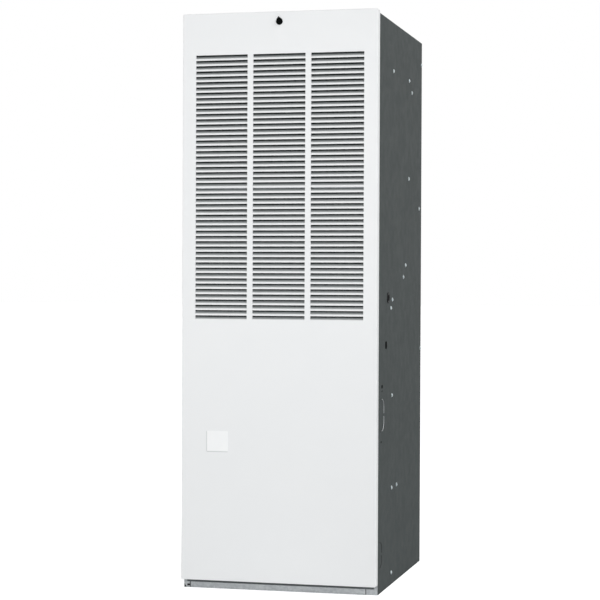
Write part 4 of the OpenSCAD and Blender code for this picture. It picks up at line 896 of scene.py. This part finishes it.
def makeHoleShadePlug(back, z, radius, proud):
    # a flush plug starts inside the sheet; the matt black plugs are painted shade, darkening the knock-out
    # and spare holes where they lie in shadow
    c = caseTrim
    inner = c["face"] - .0011 if proud < .0005 else c["face"]
    y = c["front"] + back
    plug = startRod("plug", (inner, y, z), (c["face"] + proud, y, z), radius)
    return smooth(insetSide(plug, toRight, (.3 * radius, .0003), (.25 * radius, -.0004)), 50)


def makeCaseTrim():
    c = caseTrim
    for name, *notch, slot in c["notches"]:
        paths = [notchPath(*notch, upward) for upward in (1, -1)]
        addBothSides(name, [startHose(name, path, c["bead"], 8) for path in paths], slot)
    plugs = [makeHoleShadePlug(*spec) for spec in c["plugs"]]
    # painted shade: matt black plugs on both sides darken the holes
    addBothSides("holeShadePlugs", plugs, "black_plastic", finishes["mattBlack"])
    for name, low, high, finish in c["strips"]:
        addTo(softBox(name, low, high, .0003), "base_front_rail", "gasket_foam", finishes[finish])


makeCaseTrim()


# Blankets of glass wool with a facing, held by speed washers

blanket = {
    "step": .034, "hem": .005, "rim": .0045, "rimWidth": .02, "dimple": .0045, "spread": .030,
    "ripple": .0011, "thick": .012, "wall": .2458, "back": (.2923, .3043), "pinsAcross": (-.16, 0, .16),
    "lower": {"side": (-.0951, .292), "z": (.022, .624)},
    "upper": {"side": (-.1111, .292), "z": (.6412, 1.0012)},
    "door": {"low": (-.217, -.3011, .062), "high": (.217, -.2891, .6455), "pinX": (-.15, 0, .15),
             "pinZ": (.16, .356, .55)},
    "washer": .0145, "washerThick": .0008, "sunk": .0048,
    "rings": ((.006, .0009), (.0035, -.0005), (.0018, .0007)),
}


def makeBlanket(name, low, high, axis, side, pins):
    b = blanket
    pad = startBox(name, low, high)
    flat = [i for i in range(3) if i != axis]
    startEdit(pad)
    for i in flat:
        count = int((high[i] - low[i]) / b["step"])
        stops = [low[i] + (high[i] - low[i]) * (n + 1) / (count + 1) for n in range(count)]
        for stop in [low[i] + b["hem"], *stops, high[i] - b["hem"]]:
            cutAcross(axes[i] * stop, axes[i])
    mesh = bmesh.from_edit_mesh(pad.data)
    shown = high[axis] if side > 0 else low[axis]
    for v in mesh.verts:
        if not same(v.co[axis], shown):
            continue
        edge = min(min(v.co[i] - low[i], high[i] - v.co[i]) for i in flat)
        sink = b["rim"] * max(0, 1 - edge / b["rimWidth"]) ** 2
        for pin in pins:
            away = math.dist([v.co[i] for i in flat], [pin[i] for i in flat])
            sink += b["dimple"] * math.exp(-(away / b["spread"]) ** 2)
        first, second = (v.co[i] for i in flat)
        wave = math.sin(41 * first + 2.3 * math.sin(17 * second)) * math.cos(29 * second)
        v.co[axis] -= side * (sink + b["ripple"] * (1 + wave) / 2)
    bmesh.update_edit_mesh(pad.data)
    endEdit()
    applyModifier(pad, "SUBSURF", levels=1, render_levels=1, subdivision_type="SIMPLE")
    return smooth(pad, 60)


def placeBlanket(pad, node, axis, side):
    # the facing covers the shown side, bare wool shows at the cut edges
    placeAs(pad, node)
    pad.data.materials.append(finishes["wool"])
    for face in pad.data.polygons:
        face.material_index = 0 if face.normal[axis] * side > .35 else 1


def makeSpeedWashers(name, spots, axis, side):
    # spots lie in the shown face; each washer sits in its dimple
    b, out = blanket, axes[axis] * side
    first = startRod("speedWasher", (0, 0, 0), out * b["washerThick"], b["washer"])
    softenEdges(insetSide(first, out, *b["rings"]), .0002, 1)
    places = [Matrix.Translation(Vector(spot) - out * b["sunk"]) for spot in spots]
    return joinPieces(name, repeat(first, name, places))


def makeCabinetBlankets(key):
    b, node = blanket, "insulation_" + key
    (y0, y1), (low, high), (near, far) = b[key]["side"], b[key]["z"], b["back"]
    rows = [low + (high - low) * n for n in (.18, .5, .82)]
    specs = []
    for side in (1, -1):
        face = side * (b["wall"] - b["thick"])
        pins = [(face, y0 + (y1 - y0) * n, z) for n in (.2, .5, .8) for z in rows]
        left, right = sorted((side * b["wall"], face))
        specs.append(("Side", (left, y0, low), (right, y1, high), 0, -side, pins))
    pins = [(x, near, z) for x in b["pinsAcross"] for z in rows]
    specs.append(("Back", (-b["wall"], near, low), (b["wall"], far, high), 1, -1, pins))
    pads, washers = [], []
    for part, *box, axis, side, pins in specs:
        pads.append((makeBlanket(node + part, *box, axis, side, pins), axis, side))
        washers.append(makeSpeedWashers(node + "Pins", pins, axis, side))
    for pad, axis, side in pads:
        placeBlanket(pad, node, axis, side)
    addTo(smooth(joinPieces(node + "Washers", washers)), node, "zinc_bright")


def makeDoorBlanket():
    d = blanket["door"]
    pins = [(x, d["high"][1], z) for x in d["pinX"] for z in d["pinZ"]]
    placeBlanket(makeBlanket("doorBlanket", d["low"], d["high"], 1, 1, pins), "door_insulation", 1, 1)
    addTo(smooth(makeSpeedWashers("doorBlanketWashers", pins, 1, 1)), "door_insulation", "zinc_bright")


makeCabinetBlankets("lower")
makeCabinetBlankets("upper")
makeDoorBlanket()
print("blankets ready")


# Foam strip on the door's back lip, along its sides and top

gasket = {"out": .2465, "wide": .006, "y": (-.2791, -.2776), "z": (.045, 1.415), "top": 1.420, "round": .0008}


def makeGasket():
    g = gasket
    out, (y0, y1), (low, high) = g["out"], g["y"], g["z"]
    strips = [startBox("strip", (x, y0, low), (x + g["wide"], y1, high)) for x in (-out, out - g["wide"])]
    strips.append(startBox("strip", (-out, y0, high), (out, y1, g["top"])))
    for strip in strips:
        startEdit(strip)
        pick("EDGE", lambda middle, edge: same(middle.y, y1, 1e-6))
        bevelPicked(g["round"], 4)
        endEdit()
        smooth(strip, 60)
    placeAs(joinPieces("foamGasket", strips), "door_gasket")


makeGasket()


# Pleated filters in card frames

filterPad = {
    "half": .215, "y": (-.2923, -.2733), "tall": .3325, "rim": .014, "z": {"upper": .9990, "lower": .6635},
    "band": .011, "bandThick": .0005, "bandLevels": (.33, .67), "bandX": (-.11, 0, .11),
    "pleats": 30, "pleatGap": .0026, "pleatRound": .0016, "paper": .0009,
}


def makeFilterCard(node, z):
    f = filterPad
    half, rim, wide, (y0, y1) = f["half"], f["rim"], f["band"], f["y"]
    card = startBox(node + "Frame", (-half, y0, z), (half, y1, z + f["tall"]))
    startEdit(card)
    for side in (toFront, toBack):
        pickSide(side)
        inset((rim, 0))
        bpy.ops.mesh.delete(type="FACE")
    pick("EDGE", lambda middle, edge: edge.is_boundary)
    bpy.ops.mesh.bridge_edge_loops()
    endEdit()
    softenEdges(card, .0007)
    # straps on both faces, the upright ones behind the level ones
    straps = []
    for y, inward in ((y0, 1), (y1, -1)):
        near, far = sorted((y + inward * .0002, y + inward * (.0002 + f["bandThick"])))
        for middle in (z + f["tall"] * level for level in f["bandLevels"]):
            straps.append(startBox("band", (.4 * rim - half, near, middle - wide / 2),
                                   (half - .4 * rim, far, middle + wide / 2)))
        for x in f["bandX"]:
            straps.append(startBox("band", (x - wide / 2, near + inward * .0003, z + .4 * rim),
                                   (x + wide / 2, far + inward * .0003, z + f["tall"] - .4 * rim)))
    for strap in straps:
        softenEdges(strap, .0002, 1)
    placeAs(joinPieces(node + "Card", [card, *straps]), node)


def makeFilterMedia(node, z):
    # the pleats stand across the frame's depth
    f = filterPad
    y0, y1 = f["y"]
    reach = f["half"] - f["rim"]
    fold, swing = 2 * reach / f["pleats"], (y1 - y0) / 2 - f["pleatGap"]
    centre = (0, (y0 + y1) / 2, z + f["tall"] / 2)
    media = startSheet(node + "Media", centre, 2 * reach, f["tall"] - 2 * f["rim"])
    startEdit(media)
    for i in range(1, f["pleats"]):
        cutAcross((-reach + i * fold, 0, 0), toRight)
    for odd, shift in enumerate((-swing, swing)):
        pick("VERT", lambda p: round((p.x + reach) / fold) % 2 == odd)
        move(y=shift)
    pick("EDGE", lambda middle, edge: straight(edge, 2) and not edge.is_boundary)
    bevelPicked(f["pleatRound"], 3)
    endEdit()
    applyModifier(media, "SOLIDIFY", thickness=f["paper"], offset=0)
    placeAs(smooth(media, 50), node, finishes["media"])


for key, z in filterPad["z"].items():
    makeFilterCard("filter_" + key, z)
    makeFilterMedia("filter_" + key, z)
print("filters ready")


# Blower wheel with forward-curved blades

wheel = {
    "centre": (-.020, .1097, .7902), "radius": .100, "wide": .170,
    "blades": 36, "bladeCuts": 6, "thick": .0008, "outer": (0, .0985), "inner": (-.0075, .0844),
    "bulge": .0024, "ring": .008, "ringWall": .003, "hub": .014, "hubWide": .024, "setScrewX": -.0085,
    "dish": ((.016, 0), (.004, .0016), (.030, 0), (.004, -.0016)),
    "mouth": {"x": -.1162, "radius": .0728, "roll": .0028},
}


def makeBlade():
    w = wheel
    blade = startSheet("blade", (0, 0, 0), w["wide"] - .002, 1, 0)
    startEdit(blade)
    for i in range(1, w["bladeCuts"]):
        cutAcross((0, -.5 + i / w["bladeCuts"], 0), toBack)
    mesh = bmesh.from_edit_mesh(blade.data)
    outer, inner = Vector(w["outer"]), Vector(w["inner"])
    chord = inner - outer
    side = Vector((chord.y, -chord.x)).normalized()
    for v in mesh.verts:
        along = v.co.y + .5
        v.co.y, v.co.z = outer + chord * along + side * (4 * along * (1 - along) * w["bulge"])
    bmesh.update_edit_mesh(blade.data)
    endEdit()
    applyModifier(blade, "SOLIDIFY", thickness=w["thick"], offset=0)
    return smooth(blade, 40)


def makeWheel():
    w = wheel
    parts = repeat(makeBlade(), "bladeCopy", [turned(360 * i / w["blades"], "X") for i in range(w["blades"])])
    for side in (-1, 1):
        clearPick()
        bpy.ops.mesh.primitive_cylinder_add(vertices=96, radius=w["radius"], depth=w["ring"],
                                            end_fill_type="NOTHING", rotation=(0, math.radians(90), 0),
                                            location=(side * (w["wide"] - w["ring"]) / 2, 0, 0))
        ring = settle(nameIt("ring"))
        applyModifier(ring, "SOLIDIFY", thickness=w["ringWall"], offset=-1)
        parts.append(softenEdges(ring, .0008, 3))
    disc = startRod("disc", (-.001, 0, 0), (.001, 0, 0), w["radius"] - .001, 96)
    for side in (toRight, -toRight):
        insetSide(disc, side, *w["dish"])
    half, spot = w["hubWide"] / 2, Vector((w["setScrewX"], 0, w["hub"]))
    parts += [smooth(disc, 25), softRod("hub", (-half, 0, 0), (half, 0, 0), w["hub"], 40, .0012, 3),
              softRod("setScrew", spot - toTop * .002, spot + toTop * .003, .003, 6, .0004)]
    made = joinPieces("blowerWheel", parts)
    made.data.transform(Matrix.Translation(w["centre"]))
    placeAs(made, "blower_wheel")


def makeInletRing():
    # rolled bell mouth on the free side of the casing
    m = wheel["mouth"]
    centre = (m["x"], *wheel["centre"][1:])
    ring = startRing("inletRing", centre, (0, math.radians(90), 0), m["radius"], m["roll"], 96, 14)
    applyModifier(ring, "SUBSURF", levels=1, render_levels=1)
    addTo(smooth(ring, 60), "blower_housing", "galvanised")


makeWheel()
makeInletRing()
print("blower ready")


# Motor: through bolts

motor = {
    "face": .1225, "centre": (.1097, .7902), "boltCircle": .0465, "bolt": .0032, "nut": .0035, "stud": .0060,
}


def makeMotorBolts():
    m = motor
    y, z = m["centre"]
    nuts = []
    for turn in (math.radians(degrees) for degrees in (45, 135, 225, 315)):
        spot = Vector((m["face"], y + m["boltCircle"] * math.cos(turn), z + m["boltCircle"] * math.sin(turn)))
        nuts += [hexNut("nut", spot, spot + toRight * m["nut"], m["bolt"]),
                 softRod("stud", spot, spot + toRight * m["stud"], m["bolt"] * .5, 16, .0002, 1)]
    addTo(joinPieces("motorBolts", nuts), "blower_motor", "zinc_bright")


makeMotorBolts()


# Run capacitor: crimped can, insulating cap and two crossed terminals

capacitor = {
    "at": (-.070, -.0603, .6412), "foot": .026, "footTall": .003, "can": .022, "tall": .080,
    "rim": ((.0012, .0008), (.0010, -.0016), (.0060, .0010)), "crimp": (.070, .0725), "crimpIn": .955,
    "cap": .014, "blade": (.003, .0004, .009), "bladeX": (-.009, .009), "bladeY": .0035,
}


def makeCapacitor():
    c = capacitor
    at = Vector(c["at"])
    foot = softRod("foot", at, at + toTop * c["footTall"], c["foot"], 48, .0006)
    can = startRod("can", at + toTop * c["footTall"], at + toTop * c["tall"], c["can"], 64)
    insetSide(can, toTop, *c["rim"])
    startEdit(can)
    for level in c["crimp"]:
        cutAcross((0, 0, at.z + level), toTop)
    pick("VERT", lambda p: any(same(p.z - at.z, level) for level in c["crimp"]))
    resize((c["crimpIn"], c["crimpIn"], 1), at)
    endEdit()
    placeAs(joinPieces("capacitorCan", [foot, softenEdges(can, .0006, 2, 30)]), "run_capacitor")
    top = at + toTop * c["tall"]
    cap = softRod("capacitorCap", top - toTop * .001, top + toTop * .002, c["cap"], 40, .0005)
    addTo(cap, "run_capacitor", "black_plastic")
    wide, thick, tall = c["blade"]
    blades = []
    for x in c["bladeX"]:
        for degrees, y in ((0, 0), (90, c["bladeY"])):
            blade = startBox("blade", (-wide, -thick, 0), (wide, thick, tall))
            softenEdges(narrowSide(blade, toTop, (.6, 1, 1), (0, 0, tall)), .00015, 1)
            spot = at + Vector((x, y, c["tall"] + .0018))
            blade.data.transform(Matrix.Translation(spot) @ turned(degrees, "Z"))
            blades.append(blade)
    addTo(joinPieces("capacitorBlades", blades), "run_capacitor", "zinc_bright")


makeCapacitor()


# Control board with relays, plugs, capacitors and terminals

board = {
    "x": (.068, .212), "z": (.7093, .8553), "face": -.1931, "back": -.1915, "corner": .003,
    # first corner, step, count, size, out, lift off the board, inset steps, edge
    "relay": ((.014, .106), .030, 3, (.022, .028), .0164, 0, ((.0016, 0), (.0004, -.0004)), (.0009, 3)),
    "processor": ((.020, .070), 0, 1, (.040, .014), .0030, .0006, (), (.0004, 2)),
    "diode": ((.072, .097), .009, 4, (.0032, .0074), .0036, .0008, (), (.0006, 2)),
    "plug": ((.020, .004), .104 / 9, 9, (.104 / 9 - .0006, .012), .0130, 0, ((.0022, 0), (.0003, -.0060)),
             (.0004, 2)),
    "longHeader": ((.016, .040), 0, 1, (.046, .012), .0085, 0, ((.0012, -.0055),), (.0004, 2)),
    "shortHeader": ((.074, .040), 0, 1, (.028, .012), .0085, 0, ((.0012, -.0055),), (.0004, 2)),
    "can": {"right": .020, "z": .044, "step": .018, "count": 3, "radius": .006, "out": .0124,
            "score": ((.0010, .0002), (.0004, -.0004))},
    "leg": {"x": .0225, "step": .0048, "count": 8, "rows": (.0685, .0842), "size": (.0008, .0020, .0015)},
    "tab": {"x": .020, "z": .1005, "step": .013, "count": 7, "size": (.0062, .0085, .0008)},
    "spacer": {"inset": .008, "radius": .003, "long": .008, "nut": .0033},
}


def boardBlocks(*names):
    made = []
    for name in names:
        (x, z), step, count, (wide, tall), out, lift, steps, (edge, segments) = board[name]
        for i in range(count):
            corner = Vector((board["x"][0] + x + i * step, board["face"] - out, board["z"][0] + z))
            block = startBox(name, corner, corner + Vector((wide, out - lift, tall)))
            made.append(softenEdges(insetSide(block, toFront, *steps), edge, segments))
    return made


def boardCans():
    c = board["can"]
    made = []
    for i in range(c["count"]):
        spot = Vector((board["x"][1] - c["right"], board["face"], board["z"][0] + c["z"] + i * c["step"]))
        can = startRod("can", spot, spot + toFront * c["out"], c["radius"])
        made.append(softenEdges(insetSide(can, toFront, *c["score"]), .0005))
    return made


def boardMetal():
    b, (x0, x1), (z0, z1), y = board, board["x"], board["z"], board["face"]
    leg, tab, spacer = b["leg"], b["tab"], b["spacer"]
    metal = []
    wide, out, tall = leg["size"]
    for i in range(leg["count"]):
        for z in leg["rows"]:
            corner = Vector((x0 + leg["x"] + i * leg["step"], y - out, z0 + z))
            metal.append(startBox("leg", corner, corner + Vector((wide, out, tall))))
    wide, out, tall = tab["size"]
    for i in range(tab["count"]):
        corner = Vector((x0 + tab["x"] + i * tab["step"], y - out, z0 + tab["z"]))
        made = startBox("tab", corner, corner + Vector((wide, out, tall)))
        narrowSide(made, toFront, (.62, 1, 1), corner + Vector((wide / 2, 0, tall / 2)))
        metal.append(softenEdges(made, .00015, 1))
    gap = spacer["inset"]
    for x in (x0 + gap, x1 - gap):
        for z in (z0 + gap, z1 - gap):
            ends = (x, b["back"] + spacer["long"], z), (x, b["back"], z)
            metal += [softRod("spacer", *ends, spacer["radius"], 24, .0003, 1),
                      hexNut("nut", (x, y + .0002, z), (x, y - .0022, z), spacer["nut"])]
    return metal


def makeBoard():
    (x0, x1), (z0, z1) = board["x"], board["z"]
    plate = startBox("boardPlate", (x0, board["face"], z0), (x1, board["back"], z1))
    placeAs(softenEdges(roundAlong(plate, 1, board["corner"], 4), .0002, 1), "control_board")
    for name, pieces, slot in (
            ("boardBlackParts", boardBlocks("relay", "processor", "diode"), "black_plastic"),
            ("boardPlugs", boardBlocks("plug", "longHeader", "shortHeader"), "white_plastic"),
            ("boardCapacitors", boardCans(), "blue_plastic"),
            ("boardMetal", boardMetal(), "zinc_bright")):
        addTo(joinPieces(name, pieces), "control_board", slot)


makeBoard()


# Transformer: core plates, bobbin, taped winding, foot and terminals

transformer = {
    "at": (.138, -.2103, .6424), "foot": ((-.030, -.018, 0), (.018, .018, .002)), "footCorner": .004,
    "core": ((-.024, -.015, .002), (.012, .015, .044)),
    "flanges": (-.0213, .0213), "flange": ((-.0195, -.0007, .0085), (.0075, .0007, .0375)),
    "terminalRow": ((-.0175, -.0225, .0375), (.0055, -.0150, .0405)),
    "coil": ((-.018, -.0208, .010), (.006, .0208, .036)), "coilCorner": .005,
    "tabX": (-.016, -.0085, -.001), "tab": ((0, -.0222, .0400), (.0048, -.0215, .0480)),
    "screwX": (-.026, .0140), "screwHead": .0035,
}


def makeTransformer():
    t = transformer
    at = Vector(t["at"])

    def block(key, shift=(0, 0, 0)):
        low, high = (at + Vector(shift) + Vector(corner) for corner in t[key])
        return startBox(key, low, high)

    foot = softenEdges(roundAlong(block("foot"), 2, t["footCorner"], 4), .0003, 1)
    placeAs(joinPieces("transformerCore", [foot, softenEdges(block("core"), .0007)]), "transformer")
    bobbin = [softenEdges(block("flange", (0, y, 0)), .0005) for y in t["flanges"]]
    bobbin.append(softenEdges(block("terminalRow"), .0005))
    addTo(joinPieces("transformerBobbin", bobbin), "transformer", "white_plastic")
    coil = softenEdges(roundAlong(block("coil"), 1, t["coilCorner"], 5), .0005)
    addTo(joinPieces("transformerCoil", [coil]), "transformer", "transformer_iron", finishes["tape"])
    metal = [softenEdges(block("tab", (x, 0, 0)), .0002, 1) for x in t["tabX"]]
    metal += [hexNut("screwHead", at + Vector((x, 0, .002)), at + Vector((x, 0, .0040)), t["screwHead"])
              for x in t["screwX"]]
    addTo(joinPieces("transformerTabs", metal), "transformer", "zinc_bright")


makeTransformer()
print("controls ready")


# Gas valve: knob with a knurled rim, cover screws, test plug and coil

valve = {
    "x": .172, "front": -.2413, "z": (.260, .340),
    "knobX": .162, "knobZ": .308, "knob": .014, "ribs": 60, "ribWidth": .00015, "ribDepth": -.0007,
    "dish": ((.0016, 0), (.0006, -.0012)),
    "screws": {"x": .033, "z": .006, "radius": .0032, "recess": ((.0012, 0), (.0002, -.0012))},
    "plug": {"x": -.020, "z": .016, "radius": .0055},
    "coil": ((.1775, -.2218, .3405), (.2025, -.1928, .3482)), "coilDish": (.0035, -.0008),
}


def makeValveKnob():
    v = valve
    x, y, z = v["knobX"], v["front"], v["knobZ"]
    rim = startRod("knobRim", (x, y - .0003, z), (x, y - .006, z), v["knob"], v["ribs"])
    startEdit(rim)
    mesh = bmesh.from_edit_mesh(rim.data)
    for face in mesh.faces:
        turn = math.degrees(math.atan2(face.normal.z, face.normal.x)) % 360
        face.select_set(abs(face.normal.y) < .5 and int(turn * v["ribs"] / 360) % 2 == 0)
    mesh.select_flush_mode()
    bmesh.update_edit_mesh(rim.data)
    bpy.ops.mesh.inset(thickness=v["ribWidth"], depth=v["ribDepth"], use_individual=True)
    pick("FACE", lambda middle, normal: normal.y < -.9 and same(middle.y, y - .006))
    inset(*v["dish"])
    endEdit()
    smooth(rim, 25)
    grip = startBox("knobGrip", (x - .003, y - .014, z - .012), (x + .003, y - .0045, z + .012))
    softenEdges(narrowSide(grip, toFront, (.62, 1, .8), (x, y - .014, z)), .0010, 3)
    stem = softRod("knobStem", (x, y - .002, z), (x, y + .006, z), .004, 24, .0004, 1)
    placeAs(joinPieces("valveKnob", [rim, grip, stem]), "gas_valve_knob")


def makeValveFittings():
    v = valve
    s, y, (z0, z1) = v["screws"], v["front"], v["z"]
    metal = []
    for z in (z0 + s["z"], z1 - s["z"]):
        for x in (v["x"] - s["x"], v["x"] + s["x"]):
            head = startRod("coverScrew", (x, y + .0005, z), (x, y - .0022, z), s["radius"], 24)
            metal.append(softenEdges(insetSide(head, toFront, *s["recess"]), .0003))
    x, z = v["x"] + v["plug"]["x"], z0 + v["plug"]["z"]
    ends = (x, y + .001, z), (x, y - .0045, z)
    metal.append(softRod("testPlug", *ends, v["plug"]["radius"], 6, .0005, 2, 25))
    addTo(joinPieces("valveScrews", metal), "gas_valve", "zinc_bright")
    coil = insetSide(startBox("valveCoil", *v["coil"]), toTop, v["coilDish"])
    addTo(softenEdges(coil, .0006, 3), "gas_valve", "black_plastic")


# Sheet screws round the burner box's front

burnerScrews = {"x": (-.013, .093), "y": -.2303, "z": (.251, .349)}


def makeBurnerScrews():
    b = burnerScrews
    spots = [Matrix.Translation((x, b["y"], z)) @ turned(-90, "Z") for x in b["x"] for z in b["z"]]
    copies = repeat(makeScrew(), "burnerScrew", spots)
    addTo(smooth(joinPieces("burnerScrews", copies), 30), "burner_box", "zinc_bright")


makeValveKnob()
makeValveFittings()
makeBurnerScrews()
print("gas train ready")


# Wiring in bundles of thin leads with ties, and the pressure hose

leads = {
    "white": ((.78, .78, .75), (.66, .66, .63)), "black": ((.020, .020, .022), (.012, .012, .013)),
    "red": ((.50, .022, .016), (.38, .014, .010)), "blue": ((.030, .085, .36), (.020, .06, .27)),
    "green": ((.028, .24, .06), (.018, .16, .04)), "yellow": ((.72, .50, .030), (.60, .40, .022)),
    "brown": ((.13, .055, .025), (.09, .038, .018)),
}
routes = (
    {"radius": .004, "lead": .00115, "colors": ("white", "red", "brown", "blue", "black"), "points": (
        (.160, -.2143, .7132), (.180, -.2083, .6912), (.204, -.2103, .6712), (.204, -.2103, .6012),
        (.208, -.2123, .480), (.190, -.2073, .400), (.190, -.2073, .360), (.190, -.2073, .348))},
    {"radius": .003, "lead": .00095, "colors": ("black", "white", "green", "red"), "points": (
        (.140, -.2143, .7132), (.162, -.2223, .6992), (.194, -.2173, .6752), (.194, -.2173, .6012),
        (.100, -.2143, .540), (-.040, -.2143, .500), (-.104, -.2063, .440), (-.104, -.2063, .390),
        (-.104, -.2063, .376))},
    {"radius": .0035, "lead": .00105, "colors": ("black", "blue", "yellow", "white", "brown"), "points": (
        (.130, .1297, .7902), (.148, .1297, .7902), (.154, .0497, .7962), (.150, -.1423, .8002),
        (.150, -.1703, .8002), (.150, -.1823, .8002))},
    {"radius": .002, "lead": .0009, "colors": ("blue", "yellow"), "points": (
        (.2365, -.2501, 1.100), (.2365, -.2381, 1.100), (.2305, -.2223, 1.040), (.2285, -.2023, .9592),
        (.2294, -.2023, .8992), (.2294, -.2023, .8692))},
)
hose = {"radius": .004, "points": (
    (.185, -.1503, .470), (.185, -.1643, .470), (.150, -.1863, .440), (.070, -.1923, .410),
    (-.030, -.1963, .394), (-.081, -.2003, .368), (-.081, -.1923, .364), (-.081, -.1783, .364))}


def rounded(route):
    # each pass cuts the corners of the last
    points = [Vector(p) for p in route["points"]]
    for _ in range(3):
        cut = [points[0]]
        for a, b in zip(points, points[1:]):
            cut += [a * .75 + b * .25, a * .25 + b * .75]
        points = cut + [points[-1]]
    return points


def besideRoute(points, offset, turn, twist):
    # the route's points moved sideways by a frame that is carried along without spinning
    made, side, run = [], Vector((.3, .9, .2)), 0
    for i, point in enumerate(points):
        ahead = (points[min(i + 1, len(points) - 1)] - points[max(i - 1, 0)]).normalized()
        side = (side - ahead * side.dot(ahead)).normalized()
        if i:
            run += (point - points[i - 1]).length
        angle = turn + twist * run
        made.append(point + offset * (side * math.cos(angle) + ahead.cross(side) * math.sin(angle)))
    return made


def bothEnds(points):
    # each end with the way into the route
    ends = (points[0], points[2]), (points[-1], points[-3])
    return [(end, (inner - end).normalized()) for end, inner in ends]


def makeTie(point, ahead, radius):
    turn = ahead.to_track_quat("Z", "Y")
    band = startRing("tie", point, turn.to_euler(), radius + .0003, .0007, 28, 8)
    lock = softBox("tieLock", (-.0016, -.0013, -.0016), (.0016, .0013, .0016), .0003)
    lock.data.transform(Matrix.Translation(point) @ turn.to_matrix().to_4x4()
                        @ Matrix.Translation((0, radius + .0014, 0)))
    return [smooth(band, 60), lock]


def makeLeads():
    strands = {color: [] for color in leads}
    ties, sleeves = [], []
    for route in routes:
        points, radius, colors = rounded(route), route["radius"], route["colors"]
        for i, color in enumerate(colors):
            path = besideRoute(points, radius - route["lead"], 2 * math.pi * i / len(colors), 34)
            strands[color].append(startHose("lead", path, route["lead"], 8))
        for i in range(len(points) // 5, len(points) - 3, max(6, len(points) // 5)):
            ties += makeTie(points[i], (points[i + 1] - points[i - 1]).normalized(), radius)
        sleeves += [softRod("sleeve", end, end + ahead * .006, radius + .0004, 20, .0005)
                    for end, ahead in bothEnds(points)]
    for color, pieces in strands.items():
        finish = moulded(color + "Lead", *leads[color], (.36, .5), 800, .00004)
        placeAs(joinPieces(color + "Leads", pieces), "wiring_harness", finish)
    for name, pieces, slot in (("leadTies", ties, "white_plastic"),
                               ("leadSleeves", sleeves, "black_plastic")):
        place(joinPieces(name, pieces), "cabinet", slot, finishes[slot], "wiring_harness")


def makeHose():
    points, radius = rounded(hose), hose["radius"]
    tube = startHose("pressureHose", points, radius - .0002, 16)
    clamps = [softRod("clamp", end + ahead * .004, end + ahead * .0065, radius + .0004, 28, .0003)
              for end, ahead in bothEnds(points)]
    placeAs(tube, "pressure_tube")
    addTo(joinPieces("hoseClamps", clamps), "pressure_tube", "zinc_bright")


makeLeads()
makeHose()
print("wiring ready")


clearPick()
